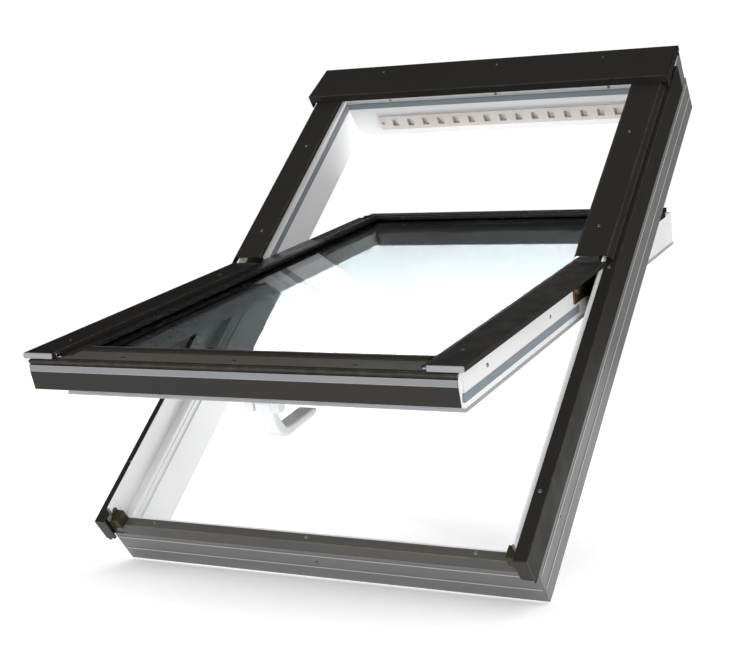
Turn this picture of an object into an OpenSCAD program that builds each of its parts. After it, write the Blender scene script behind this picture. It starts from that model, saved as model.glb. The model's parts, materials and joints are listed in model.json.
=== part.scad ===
/* [Frame] */
// Width of the frame across the slope
frame_w = 780; // [660:10:1140]
// Height of the frame up the slope
frame_h = 1180; // [980:10:1600]
// Width of a frame rail on the room side
rail_w = 40; // [36:1:48]
// Height of the grey outer face below the claddings
face_h = 75; // [70:1:85]
// Pitch of the roof in which the window is drawn
roof_pitch = 45; // [15:5:70]
// Wall of the extruded plastic profiles
wall = 3; // [2.5:0.1:3.2]

/* [Frame covers] */
// Thickness of the folded metal sheet
sheet = 1.2; // [0.8:0.1:1.5]
// Level of the side claddings' top ledge
ledge_n = 133; // [131:0.5:134]
// Width of the side claddings' top ledge
ledge_w = 20.8; // [18.8:0.2:20.8]
// Level of the lower cladding's top ledge
sill_n = 103; // [101:0.5:104]
// Distance by which the side claddings run past the frame's lower end
side_overrun = 16; // [8:1:20]
// Level of the outer surface of the covers and strips
top_n = 150; // [149:0.5:152]
// Width of the flat of a cover or strip
cover_w = 56; // [50:1:58]
// Level of the hood's front edge
hood_n = 167; // [162:1:170]
// Length of the hood down the slope
hood_l = 106; // [90:1:115]

/* [Sash] */
// Angle by which the sash stands open
sash_open = 32; // [0:1:60]
// Width of a sash rail on the room side
sash_w = 36; // [32:1:40]
// Width of the sash's lower and upper rails on the room side
sash_end_w = 48; // [44:1:58]
// Gap between the sash's lip and the frame
sash_gap = 2.5; // [2:0.1:4]
// Level of the sash's room side, at the bottom of its lip
sash_n0 = 64; // [62:0.5:66]
// Level of the glass seat
seat_n = 106; // [104:0.5:108]
// Level of the bead's flat
bead_n = 141; // [140:0.5:142]
// Distance by which the sash's nose runs past the frame's lower end
nose_overrun = 35; // [32:1:45]
// Height of the swing axis above the room side
axis_n = 165; // [160:1:170]

/* [Glass] */
// Thickness of each pane
pane_t = 4; // [3:0.5:4]
// Gap between the panes
pane_gap = 16; // [12:1:16]

/* [Vent and handle] */
// Count of the vent's windows
vent_count = 15; // [5:1:15]
// Distance between the vent's windows
vent_pitch = 35.8; // [22:0.1:36]
// Width of the handle's base
handle_w = 60; // [50:1:80]
// Width of the handle's lever
lever_w = 30; // [24:1:36]
// Reach of the lever up the slope, from its pivot
lever_reach = 130; // [110:5:160]

/* [Fixings] */
// Radius of the fixing holes in the frame's outer faces
fix_r = 2.5; // [2:0.1:3]
// Distance between the fixing holes in a side
fix_pitch = 309; // [220:1:320]
// Radius of a screw's head
head_r = 3.3; // [2.5:0.1:3.4]
// Radius of a screw's shank
shank_r = 1.6; // [1.2:0.1:2]

/* [Hidden] */

cladding_brown = [0.17, 0.16, 0.15];
plastic_white = [0.93, 0.94, 0.95];
steel_grey = [0.62, 0.64, 0.66];
rubber_grey = [0.50, 0.55, 0.58];
hinge_bronze = [0.35, 0.27, 0.16];

half_w = frame_w / 2;
half_h = frame_h / 2;
step_s = 2;
fin_s = [21, 23.5];
fin_n = 145;
shelf_n = 98;
frame_d = ledge_n - sheet;
sill_s = 19;
rebate_n = 60;
fit_gap = 0.3;
fix_n = 56;
fix_shift = 6;
hole_gap = 0.2;
rib_h = 1;
rib_levels = [31.5, 63.5];
rib_setback = 4;
chamber_n = [8, 50];
upper_chamber_n = [70, 92];
groove_n = [73, 88];
groove_s = 3;

inner_x = half_w - rail_w;
inner_v = half_h - rail_w;
sash_x = inner_x - sash_gap - 1.5;
lip_out = 1.5;
sash_top_v = inner_v - 5;
sash_low_v = -half_h + sill_s + 8;
lip_t = 6;
glass_n = seat_n + 2;
outer_n = glass_n + pane_t + pane_gap;
glass_top = outer_n + pane_t;
glass_in = 11;
bead_in = 46;
tape_t = 2;
nose_v = -half_h - nose_overrun;
front_x = half_w - fin_s[1] - 1.5;
front_top = bead_n - 0.5;
front_t = 1.5;
front_in_v = sash_low_v + 19;
strip_out = half_w - 14.4;
strip_in = strip_out - cover_w;
strip_low_v = nose_v + 4;
strip_up_v = 8;
cover_low_v = 12;
cover_up_v = half_h - 45;
hood_v1 = half_h - step_s;
hood_v0 = hood_v1 - hood_l;
hood_rear_n = 156;
hood_x = half_w - 2;
hood_end_t = 2;
block_w = 14;
block_h = 22;
block_out = 10;
plate_cut = 38.5;
screw_l = 7;
head_h = 1.7;

pivot_v = sash_low_v + 29;
pivot_n = 52;
base_v = [sash_low_v + 18.5, sash_low_v + 40];
base_n = 41;
arc_r = [44, 50];
pin_r = 2.5;
ridge_w = 19;
ridge_up = 2.5;
vent_t = 2.5;
vent_mid = 33;
vent_h = 36;
vent_win = [14, 18];
shutter_t = 2;
shutter_shift = 4;

/* ---- placing ---- */
// The window lies in a roof: x across it, v up the slope, n out of the roof.
// The origin is the middle of the lower rail's room side.
module placed() {
  rotate([roof_pitch, 0, 0])
    translate([0, half_h - rail_w / 2, 0])
      children();
}

module swung() {
  placed()
    translate([0, 0, axis_n])
      rotate([-sash_open, 0, 0])
        translate([0, 0, -axis_n])
          children();
}

// Mirrors what is drawn for the right side when s is -1.
module side(s) {
  if (s < 0)
    mirror([1, 0, 0]) children();
  else
    children();
}

// Runs a section drawn in v and n across the slope.
module across(x0, x1) {
  translate([x0, 0, 0])
    rotate([90, 0, 90])
      linear_extrude(x1 - x0)
        children();
}

// Runs a section drawn in x and n up the slope.
module upslope(v0, v1) {
  translate([0, v1, 0])
    rotate([90, 0, 0])
      linear_extrude(v1 - v0)
        children();
}

// Keeps the part of a rail that lies between its two 45 degree cuts.
module mitre_side(hw, v0, v1, depth) {
  intersection() {
    children();
    translate([0, 0, -depth])
      linear_extrude(4 * depth)
        polygon([[hw + depth, v0 - depth], [hw + depth, v1 + depth],
                 [hw - depth, v1 - depth], [hw - depth, v0 + depth]]);
  }
}

module mitre_end(hw, v, dir, depth) {
  intersection() {
    children();
    translate([0, 0, -depth])
      linear_extrude(4 * depth)
        polygon([[-hw - depth, v - dir * depth], [hw + depth, v - dir * depth],
                 [hw - depth, v + dir * depth], [-hw + depth, v + dir * depth]]);
  }
}

module ring(x, v0, v1, t, n0, n1) {
  translate([0, 0, n0])
    linear_extrude(n1 - n0)
      difference() {
        translate([-x, v0]) square([2 * x, v1 - v0]);
        translate([-x + t, v0 + t]) square([2 * x - 2 * t, v1 - v0 - 2 * t]);
      }
}

/* ---- screws ---- */
module screw() {
  intersection() {
    cylinder(h = head_h, r = head_r, $fn = 32);
    translate([0, 0, head_h - 2 * head_r])
      sphere(r = 2 * head_r, $fn = 48);
  }
  translate([0, 0, -screw_l])
    cylinder(h = screw_l + 0.1, r = shank_r, $fn = 24);
}

module screw_hole() {
  translate([0, 0, -screw_l - 1])
    cylinder(h = screw_l + 2, r = shank_r + hole_gap, $fn = 24);
}

module at_side_screws() {
  for (k = [-1, 0, 1])
    translate([half_w - 11, k * (half_h - 110), ledge_n])
      children();
}

module at_sill_screws() {
  for (k = [-1, 0, 1])
    translate([k * (half_w - 95), -half_h + 9, sill_n])
      children();
}

module at_cover_screws() {
  for (v = [86, 340])
    translate([strip_in + 25, v * half_h / 590, top_n])
      children();
}

module at_strip_screws() {
  for (v = [-92, -545])
    translate([strip_in + 22, v * half_h / 590, top_n])
      children();
}

module at_hood_screws() {
  slope = atan((hood_n - hood_rear_n) / (hood_l + sheet - 1.5));
  back = 28;
  for (x = [-half_w + 150, 19, half_w - 145])
    translate([x, hood_v1 + sheet - back, hood_rear_n + back * tan(slope)])
      rotate([-slope, 0, 0])
        children();
}

module at_head_screws() {
  for (k = [-1, 0, 1])
    translate([k * (half_w - 146), inner_v + lip_out, (groove_n[1] + shelf_n) / 2])
      rotate([90, 0, 0])
        children();
}

module at_sash_screws() {
  for (v = [-474, -202])
    translate([sash_x, v * half_h / 590, 107])
      rotate([0, 90, 0])
        children();
}

module at_front_screws() {
  for (k = [-1, 0, 1])
    translate([k * (half_w - 190), nose_v + 22, front_top])
      children();
}

module at_vent_screws() {
  for (k = [-1, 1])
    translate([k * (vent_half() - 8), inner_v - vent_t, vent_mid])
      rotate([90, 0, 0])
        children();
}

/* ---- frame rails ---- */
// Section of a side or head rail: s runs in from the outer face.
// The fin at fin_s stands beside the cladding's ledge and keeps driven rain out.
module rail_outline() {
  polygon([
    [0, 0], [rail_w, 0], [rail_w, groove_n[0]], [rail_w - groove_s, groove_n[0]],
    [rail_w - groove_s, groove_n[1]], [rail_w, groove_n[1]], [rail_w - 1.5, groove_n[1] + 1.5],
    [rail_w - 1.5, shelf_n - 1.5], [rail_w - 3, shelf_n], [fin_s[1], shelf_n],
    [fin_s[1], fin_n], [fin_s[0], fin_n], [fin_s[0], frame_d], [step_s, frame_d],
    [step_s, face_h], [0, face_h]
  ]);
}

// Section of the lower rail, whose inner side steps down to the sash's rebate.
module sill_outline() {
  polygon([
    [0, 0], [rail_w, 0], [rail_w, rebate_n - 2], [rail_w - 2, rebate_n],
    [sill_s, rebate_n], [sill_s, sill_n - sheet], [step_s, sill_n - sheet],
    [step_s, face_h], [0, face_h]
  ]);
}

module chambers(upper_w) {
  translate([2 * wall, chamber_n[0]])
    square([rail_w - 4 * wall, chamber_n[1] - chamber_n[0]]);
  translate([2 * wall, upper_chamber_n[0]])
    square([upper_w - 2 * wall - wall, upper_chamber_n[1] - upper_chamber_n[0]]);
}

module ribs(length) {
  for (n = rib_levels)
    translate([-length / 2 + rib_setback, -rib_h, n - 1])
      cube([length - 2 * rib_setback, rib_h + 0.5, 2]);
}

module fix_hole() {
  rotate([0, 90, 0])
    translate([0, 0, -2 * wall - 1])
      cylinder(h = 2 * wall + 3, r = fix_r, $fn = 32);
}

module frame_rail_side(s) {
  color(plastic_white)
    placed()
      side(s)
        difference() {
          union() {
            mitre_side(half_w, -half_h, half_h, 60)
              upslope(-half_h, half_h)
                translate([half_w, 0])
                  mirror([1, 0])
                    difference() {
                      rail_outline();
                      chambers(rail_w - 3);
                    }
            translate([half_w, 0, 0])
              rotate([0, 0, 90])
                ribs(frame_h);
            // Above the sill the rail runs on, solid, to the sill's upright.
            upslope(-half_h + sill_s, -half_h + rail_w + 2)
              translate([half_w, 0])
                mirror([1, 0])
                  intersection() {
                    rail_outline();
                    translate([sill_s, rebate_n]) square([rail_w, shelf_n - rebate_n]);
                  }
            // The fin runs on over the sill to the frame's lower end.
            translate([half_w - fin_s[1], -half_h, sill_n])
              cube([fin_s[1] - fin_s[0], rail_w, fin_n - sill_n]);
          }
          for (k = [-1.5, -0.5, 0.5, 1.5])
            translate([half_w, k * fix_pitch - fix_shift, fix_n])
              fix_hole();
          at_side_screws() screw_hole();
        }
}

module frame_rail_top() {
  color(plastic_white)
    placed()
      difference() {
        union() {
          mitre_end(half_w, half_h, -1, 60)
            across(-half_w, half_w)
              translate([half_h, 0])
                mirror([1, 0])
                  difference() {
                    rail_outline();
                    chambers(rail_w - 3);
                  }
          translate([0, half_h, 0])
            rotate([0, 0, 180])
              ribs(frame_w);
        }
        at_head_screws() screw_hole();
        at_vent_screws() screw_hole();
        translate([-vent_half() + 12, inner_v - 1, vent_mid - vent_h / 2 + 3])
          cube([2 * vent_half() - 24, 1 + shutter_t + 2 * fit_gap, vent_h - 6]);
      }
}

module frame_rail_bottom() {
  color(plastic_white)
    placed()
      difference() {
        union() {
          mitre_end(half_w, -half_h, 1, 60)
            across(-half_w, half_w)
              translate([-half_h, 0])
                difference() {
                  sill_outline();
                  chambers(sill_s);
                }
          translate([0, -half_h, 0])
            ribs(frame_w);
        }
        translate([0, -half_h, 46])
          rotate([0, 0, -90])
            fix_hole();
        at_sill_screws() screw_hole();
      }
}

/* ---- steel cores ---- */
module core_section(w, h, t) {
  difference() {
    square([w, h]);
    translate([t, t]) square([w - 2 * t, h - 2 * t]);
  }
}

module frame_core_section() {
  translate([2 * wall + fit_gap, chamber_n[0] + fit_gap])
    core_section(rail_w - 4 * wall - 2 * fit_gap, chamber_n[1] - chamber_n[0] - 2 * fit_gap, 1.5);
}

module frame_steel_side(s) {
  end_v = half_h - rail_w - 4;
  color(steel_grey)
    placed()
      side(s)
        upslope(-end_v, end_v)
          translate([half_w, 0])
            mirror([1, 0])
              frame_core_section();
}

module frame_steel_end(dir) {
  end_x = half_w - rail_w - 4;
  color(steel_grey)
    placed()
      across(-end_x, end_x)
        translate([-dir * half_h, 0])
          scale_v(dir)
            frame_core_section();
}

module scale_v(dir) {
  if (dir < 0)
    mirror([1, 0]) children();
  else
    children();
}

/* ---- frame gasket ---- */
// A grey lip in the groove of the side and head rails above the swing axis.
module frame_gasket() {
  x1 = inner_x + groove_s - 0.1;
  v1 = inner_v + groove_s - 0.1;
  bulge = 0.8;
  color(rubber_grey)
    placed()
      translate([0, 0, groove_n[0] + 0.3])
        linear_extrude(groove_n[1] - groove_n[0] - 0.6)
          difference() {
            translate([-x1, 70]) square([2 * x1, v1 - 70]);
            translate([-inner_x + bulge, 60])
              square([2 * (inner_x - bulge), inner_v - bulge - 60]);
          }
}

/* ---- metal claddings of the frame ---- */
module side_cladding_section() {
  x1 = half_w + sheet;
  x0 = half_w - ledge_w;
  polygon([
    [x1, face_h], [x1, ledge_n], [x0, ledge_n], [x0, frame_d], [half_w, frame_d],
    [half_w, face_h + sheet], [half_w - step_s, face_h + sheet], [half_w - step_s, face_h]
  ]);
}

module side_cladding(s) {
  color(cladding_brown)
    placed()
      side(s)
        difference() {
          upslope(-half_h - side_overrun, half_h - 37)
            side_cladding_section();
          at_side_screws() screw_hole();
        }
}

module bottom_cladding() {
  v0 = -half_h - sheet;
  v1 = -half_h + 15;
  x1 = half_w - fin_s[1] - 1;
  color(cladding_brown)
    placed()
      difference() {
        across(-x1, x1)
          union() {
            translate([v0, face_h]) square([sheet, sill_n - face_h]);
            translate([v0, face_h]) square([step_s + sheet, sheet]);
            translate([v0, sill_n - sheet]) square([v1 - v0, sheet]);
          }
        at_sill_screws() screw_hole();
      }
}

module cladding_end(s) {
  x1 = half_w + sheet;
  x0 = x1 - ledge_w - sheet;
  color([0.42, 0.37, 0.33])
    placed()
      side(s)
        upslope(-half_h - side_overrun - 3, -half_h - side_overrun)
          polygon([[x0, 88], [x0, ledge_n - 2], [x0 + 2, ledge_n], [x1 - 2, ledge_n],
                   [x1, ledge_n - 2], [x1, 84], [x0 + 4, 84]]);
}

// Plastic block that closes the corner between the sill and the side cladding:
// a thin tall cheek beside the fin, and a block that stands on the sill.
module corner_block(s) {
  cheek_t = 1.2;
  x1 = half_w - fin_s[1] - 0.7;
  v0 = -half_h - block_out;
  v1 = -half_h + 15;
  color([0.26, 0.25, 0.15])
    placed()
      side(s)
        union() {
          translate([x1 - cheek_t, v0 - 4, sill_n])
            cube([cheek_t, v1 - v0 + 4, ledge_n + 1 - sill_n]);
          translate([x1 - block_w, v0, sill_n])
            cube([block_w, v1 - v0, block_h]);
        }
}

// White carrier that stands on the ledge, bridges the fin and bears the upper cover.
module cover_mount(s) {
  foot = half_w - fin_s[0] + fit_gap;
  outside = half_w - 8.5;
  soffit = fin_n + 0.5;
  color(plastic_white)
    placed()
      side(s)
        difference() {
          upslope(cover_low_v + 38, cover_up_v - 3)
            difference() {
              polygon([[strip_in + 18, soffit], [foot, soffit], [foot, ledge_n], [outside, ledge_n],
                       [outside, 139], [strip_out - 1, top_n - sheet],
                       [strip_in + 18, top_n - sheet]]);
              translate([foot + 2.5, ledge_n + 1.5])
                square([outside - foot - 5, 4]);
            }
          at_cover_screws() screw_hole();
          at_side_screws() cylinder(h = 5, r = head_r + 0.5, $fn = 32);
        }
}

module upper_cover(s) {
  lip = 8;
  color(cladding_brown)
    placed()
      side(s)
        difference() {
          upslope(cover_low_v, cover_up_v)
            polygon([
              [strip_in - 4, top_n - 4], [strip_in, top_n], [strip_out, top_n],
              [strip_out + lip, top_n - lip - 1], [strip_out + lip, ledge_n + 1.5],
              [strip_out + lip - sheet, ledge_n + 1.5],
              [strip_out + lip - sheet, top_n - lip - 1 - sheet / 2],
              [strip_out - sheet / 2, top_n - sheet], [strip_in + sheet / 2, top_n - sheet],
              [strip_in - 3, top_n - 5]
            ]);
          at_cover_screws() screw_hole();
        }
}

module hood_section() {
  polygon([
    [hood_v0, top_n], [hood_v0, hood_n - 1.5], [hood_v0 + 1.5, hood_n],
    [hood_v1 + sheet, hood_rear_n], [hood_v1 + sheet, 108], [hood_v1, 108],
    [hood_v1, hood_rear_n - sheet], [hood_v0 + 1.5 + sheet / 2, hood_n - sheet],
    [hood_v0 + sheet, hood_n - 2], [hood_v0 + sheet, top_n]
  ]);
}

module top_hood() {
  color(cladding_brown)
    placed()
      difference() {
        across(-hood_x, hood_x) hood_section();
        at_hood_screws() screw_hole();
      }
}

// Side plate of the hood, with the tongue that hooks over the side cladding.
module hood_end(s) {
  color([0.08, 0.08, 0.08])
    placed()
      side(s)
        across(hood_x, hood_x + hood_end_t)
          polygon([
            [hood_v0, 137], [hood_v0, hood_n - 1.5], [hood_v0 + 1.5, hood_n],
            [hood_v1 + sheet, hood_rear_n], [hood_v1 + sheet, 144], [hood_v0 + 26, 146],
            [hood_v0 + 14, 137]
          ]);
}

/* ---- vent in the head rail ---- */
function vent_half() = vent_pitch * (vent_count - 1) / 2 + vent_win[0] / 2 + 30.4;

module vent_grille() {
  color([0.78, 0.76, 0.74])
    placed()
      difference() {
        translate([-vent_half(), inner_v - vent_t, vent_mid - vent_h / 2])
          cube([2 * vent_half(), vent_t, vent_h]);
        for (k = [0 : vent_count - 1])
          translate([(k - (vent_count - 1) / 2) * vent_pitch, inner_v - vent_t / 2, vent_mid])
            cube([vent_win[0], vent_t * 2, vent_win[1]], center = true);
        at_vent_screws() screw_hole();
      }
}

// Slotted plate that slides behind the grille; its open place is shutter_shift away.
module vent_shutter() {
  half = vent_pitch * (vent_count - 1) / 2 + vent_win[0] / 2 + 1;
  color([0.80, 0.78, 0.75])
    placed()
      translate([shutter_shift, inner_v + fit_gap, vent_mid])
        difference() {
          translate([-half, 0, -vent_h / 2 + 3 + fit_gap])
            cube([2 * half, shutter_t, vent_h - 6 - 2 * fit_gap]);
          for (k = [0 : vent_count - 1])
            translate([(k - (vent_count - 1) / 2) * vent_pitch, 0, 0])
              cube([vent_win[0], shutter_t * 3, vent_win[1]], center = true);
        }
}

module vent_screws() {
  color(steel_grey)
    placed()
      at_vent_screws() screw();
}

/* ---- hinges ---- */
// Both halves turn about the line v = 0, n = axis_n: an arc tongue on the sash
// runs in an arc groove of the shoe on the frame.
module annulus(r0, r1, x0, x1) {
  translate([x0, 0, axis_n])
    rotate([0, 90, 0])
      difference() {
        cylinder(h = x1 - x0, r = r1, $fn = 96);
        translate([0, 0, -1])
          cylinder(h = x1 - x0 + 2, r = r0, $fn = 96);
      }
}

module hinge_shoe(s) {
  x0 = inner_x + 0.6;
  x1 = half_w - fin_s[1] - fit_gap;
  color(hinge_bronze)
    placed()
      side(s)
        difference() {
          translate([x0, -62, shelf_n])
            cube([x1 - x0, 120, 27]);
          annulus(arc_r[0] - fit_gap, arc_r[1] + fit_gap, x0 - 1, x0 + 3.6);
        }
}

module hinge_arm(s) {
  x0 = sash_x;
  x1 = inner_x - 1;
  color(hinge_bronze)
    swung()
      side(s)
        union() {
          translate([x0, -86, 98])
            cube([x1 - x0, 116, 30]);
          intersection() {
            annulus(arc_r[0], arc_r[1], x1 - 0.5, x1 + 4.2);
            translate([x1 - 1, -36, 100])
              cube([8, 60, 34]);
          }
          translate([x1 - 0.5, -76, 120])
            rotate([0, 90, 0])
              cylinder(h = 5.5, r1 = 8, r2 = 5, $fn = 48);
        }
}

module frame_screws() {
  color(steel_grey)
    placed() {
      for (s = [-1, 1])
        side(s) {
          at_side_screws() screw();
          at_cover_screws() screw();
        }
      at_sill_screws() screw();
      at_hood_screws() screw();
      at_head_screws() screw();
    }
}

/* ---- sash rails ---- */
// Section of a sash rail: t runs in from the outer face.
module sash_outline(w) {
  polygon([
    [0, sash_n0 + lip_t], [w - 2, sash_n0 + lip_t], [w, sash_n0 + lip_t + 2], [w, seat_n - 6],
    [w - 6, seat_n], [glass_in - 2, seat_n], [glass_in - 2, glass_top], [0, glass_top]
  ]);
}

module sash_chamber(w) {
  translate([5, sash_n0 + lip_t + 5])
    square([w - 12, seat_n - sash_n0 - lip_t - 11]);
}

module sash_core_section(w) {
  translate([5 + fit_gap, sash_n0 + lip_t + 5 + fit_gap])
    core_section(w - 12 - 2 * fit_gap, seat_n - sash_n0 - lip_t - 11 - 2 * fit_gap, 1.5);
}

module sash_rail_side(s) {
  color(plastic_white)
    swung()
      side(s)
        difference() {
          mitre_side(sash_x, sash_low_v, sash_top_v, 50)
            upslope(sash_low_v, sash_top_v)
              translate([sash_x, 0])
                mirror([1, 0])
                  difference() {
                    sash_outline(sash_w);
                    sash_chamber(sash_w);
                  }
          at_sash_screws() screw_hole();
        }
}

module sash_rail_top() {
  color(plastic_white)
    swung()
      mitre_end(sash_x, sash_top_v, -1, 70)
        across(-sash_x, sash_x)
          translate([sash_top_v, 0])
            mirror([1, 0])
              difference() {
                sash_outline(sash_end_w);
                sash_chamber(sash_end_w);
              }
}

// The lower rail also has the arm that reaches over the sill to the nose.
module sash_rail_bottom() {
  arm_v = nose_v + 10;
  color(plastic_white)
    swung()
      difference() {
        union() {
          mitre_end(sash_x, sash_low_v, 1, 70)
            across(-sash_x, sash_x)
              translate([sash_low_v, 0])
                difference() {
                  sash_outline(sash_end_w);
                  sash_chamber(sash_end_w);
                }
          across(-sash_x, sash_x)
            difference() {
              polygon([[arm_v, 112], [sash_low_v - 4, 112], [sash_low_v, 108],
                       [sash_low_v, glass_top], [sash_low_v + glass_in - 2, glass_top],
                       [sash_low_v + glass_in - 2, front_top - front_t],
                       [arm_v, front_top - front_t]]);
              for (k = [0 : 1])
                translate([arm_v + wall + k * 25, 112 + wall])
                  square([22, front_top - front_t - 112 - 2 * wall]);
            }
        }
        at_front_screws() screw_hole();
      }
}

module sash_steel_side(s) {
  color(steel_grey)
    swung()
      side(s)
        upslope(sash_low_v + sash_end_w + 4, sash_top_v - sash_end_w - 4)
          translate([sash_x, 0])
            mirror([1, 0])
              sash_core_section(sash_w);
}

module sash_steel_end(dir) {
  end_x = sash_x - sash_w - 4;
  v = dir > 0 ? sash_low_v : sash_top_v;
  color(steel_grey)
    swung()
      across(-end_x, end_x)
        translate([v, 0])
          scale_v(dir)
            sash_core_section(sash_end_w);
}

// Rubber lip around the sash's room side.
module sash_lip() {
  color(rubber_grey)
    swung()
      ring(sash_x + lip_out, sash_low_v - lip_out, sash_top_v + lip_out, 12, sash_n0, sash_n0 + lip_t);
}

// Grey weather seal on the sash below the swing axis.
module sash_gasket() {
  t = 1.2;
  color(rubber_grey)
    swung()
      translate([0, 0, 79])
        linear_extrude(13)
          difference() {
            translate([-sash_x - t, sash_low_v - t]) square([2 * (sash_x + t), -62 - sash_low_v + t]);
            translate([-sash_x, sash_low_v]) square([2 * sash_x, -50 - sash_low_v]);
          }
}

/* ---- glazing ---- */
module glass_pane(n0) {
  color([0.6, 0.75, 0.75, 0.4])
    swung()
      translate([-sash_x + glass_in, sash_low_v + glass_in, n0])
        cube([2 * (sash_x - glass_in), sash_top_v - sash_low_v - 2 * glass_in, pane_t]);
}

module glazing_spacer() {
  color(steel_grey)
    swung()
      ring(sash_x - glass_in - 5, sash_low_v + glass_in + 5, sash_top_v - glass_in - 5, 10,
           glass_n + pane_t, outer_n);
}

// Rubber strips under the inner pane and over the outer pane, on one frame each.
module glazing_gasket() {
  color([0.1, 0.1, 0.1])
    swung() {
      ring(sash_x - glass_in - 1, sash_low_v + glass_in + 1, sash_top_v - glass_in - 1, 14,
           seat_n, glass_n);
      ring(sash_x - glass_in - 1, sash_low_v + glass_in + 1, sash_top_v - glass_in - 1, 14,
           glass_top, glass_top + tape_t);
    }
}

/* ---- metal claddings of the sash ---- */
// Section of a bead: t runs in from the sash's outer face.
module bead_section() {
  r = ridge_w / 2;
  difference() {
    union() {
      translate([-sheet, glass_top + tape_t])
        square([bead_in + sheet, bead_n - glass_top - tape_t]);
      translate([0, glass_top])
        square([glass_in - 2, tape_t]);
      translate([-sheet, bead_n - 11])
        square([sheet, 11]);
      intersection() {
        translate([bead_in - r, bead_n + ridge_up - 2 * r])
          circle(r = 2 * r, $fn = 96);
        translate([bead_in - ridge_w, bead_n - 2])
          square([ridge_w, 10]);
      }
    }
    translate([bead_in - 3, glass_top + tape_t - 1])
      square([4, 3]);
    translate([16, glass_top + tape_t + 1.5])
      square([bead_in - 22, bead_n - glass_top - tape_t - 3]);
  }
}

module bead_side(s) {
  color(cladding_brown)
    swung()
      side(s)
        upslope(front_in_v, sash_top_v - bead_in)
          translate([sash_x, 0])
            mirror([1, 0])
              bead_section();
}

module bead_top() {
  color(cladding_brown)
    swung()
      across(-sash_x + glass_in - 2, sash_x - glass_in + 2)
        translate([sash_top_v, 0])
          mirror([1, 0])
            bead_section();
}

// The lower cladding: flat, ridge, nose, band and skirt are one folded profile.
module front_section() {
  n1 = front_top;
  n0 = front_top - front_t;
  polygon([
    [front_in_v, n1], [nose_v + 10, n1], [nose_v + 6, n1 - 1.2], [nose_v + 3, n1 - 0.8],
    [nose_v, n1 - 2], [nose_v - 1, n1 - 4], [nose_v, n1 - 6.2], [nose_v + 2.5, n1 - 7.6],
    [nose_v + 2.5, n1 - 8.6], [nose_v - 0.5, n1 - 9.6], [nose_v - 0.5, n1 - 19.5],
    [nose_v + 5, 90], [nose_v + 6.5, 90.3], [nose_v + 1, n1 - 19.6], [nose_v + 1, n1 - 10.6],
    [nose_v + 4, n1 - 9.4], [nose_v + 4, n1 - 6.8], [nose_v + 1.4, n1 - 5.4],
    [nose_v + 0.8, n1 - 4.1], [nose_v + 3, n1 - 2.6], [nose_v + 6, n0 - 1.4],
    [nose_v + 9.5, n0], [front_in_v, n0]
  ]);
}

module front_cladding() {
  r = ridge_w / 2;
  color(cladding_brown)
    swung()
      difference() {
        union() {
          across(-front_x, front_x) front_section();
          across(-sash_x + bead_in, sash_x - bead_in)
            intersection() {
              translate([front_in_v - 20, front_top + 4 - 2 * r]) circle(r = 2 * r, $fn = 96);
              translate([front_in_v - 20 - r, front_top - 0.5]) square([ridge_w, 10]);
            }
          across(-sash_x, sash_x)
            polygon([[front_in_v - 8, front_top - 0.5], [front_in_v, front_top - 0.5],
                     [front_in_v, glass_top + tape_t], [front_in_v - 8, glass_top + tape_t]]);
          for (s = [-1, 1])
            side(s)
              upslope(nose_v + 26, front_in_v)
                intersection() {
                  translate([sash_x - bead_in + r, bead_n + ridge_up - 2 * r])
                    circle(r = 2 * r, $fn = 96);
                  translate([sash_x - bead_in, front_top - 0.5])
                    square([ridge_w, 10]);
                }
        }
        at_front_screws() screw_hole();
      }
}

// White plate that closes the end of the lower cladding, cut back round the
// corner block.
module front_end(s) {
  n1 = front_top - front_t;
  color(plastic_white)
    swung()
      side(s)
        across(front_x - 2.8, front_x - 0.4)
          difference() {
            polygon([[nose_v + 4.2, n1 - 8], [nose_v + 10, n1], [front_in_v - 1, n1],
                     [front_in_v - 1, n1 - 10], [nose_v + 50, 92], [nose_v + 8, 92],
                     [nose_v + 3, n1 - 15]]);
            translate([-half_h + 15, 98]) circle(r = plate_cut, $fn = 96);
          }
}

/* ---- strips over the gap beside the sash ---- */
module strip(s) {
  color(cladding_brown)
    swung()
      side(s)
        difference() {
          upslope(strip_low_v, strip_up_v)
            union() {
              translate([strip_in, top_n - sheet]) square([cover_w, sheet]);
              translate([strip_in, bead_n]) square([sheet, top_n - bead_n]);
              translate([strip_out - sheet, top_n - 8.5]) square([sheet, 8.5]);
            }
          at_strip_screws() screw_hole();
        }
}

module strip_cap(s) {
  r = 2;
  color([0.60, 0.59, 0.62])
    swung()
      side(s)
        union() {
          upslope(strip_low_v - 3, strip_low_v)
            polygon([[strip_in, bead_n - 0.3], [strip_in, top_n - r], [strip_in + r, top_n],
                     [strip_out - r, top_n], [strip_out, top_n - r], [strip_out, top_n - 8.5],
                     [strip_out - 4, bead_n - 0.3]]);
          translate([strip_in + sheet + 0.2, strip_low_v - 0.5, bead_n + 1])
            cube([cover_w - 2 * sheet - 0.4, 8, top_n - sheet - bead_n - 1.2]);
        }
}

// Bright spring clips that hold the strips' lower ends.
module strip_clips() {
  x1 = strip_in;
  color([0.85, 0.85, 0.86])
    swung()
      for (s = [-1, 1])
        side(s)
          upslope(nose_v + 12, nose_v + 23)
            polygon([[x1 - 11, front_top], [x1, front_top], [x1, top_n - 2], [x1 - 1.2, top_n - 2],
                     [x1 - 1.2, front_top + 4], [x1 - 4, front_top + 1.5], [x1 - 9, front_top + 3],
                     [x1 - 11, front_top + 1.5]]);
}

module sash_screws() {
  color(steel_grey)
    swung() {
      for (s = [-1, 1])
        side(s) {
          at_strip_screws() screw();
          at_sash_screws() screw();
        }
      at_front_screws() screw();
    }
}

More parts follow.
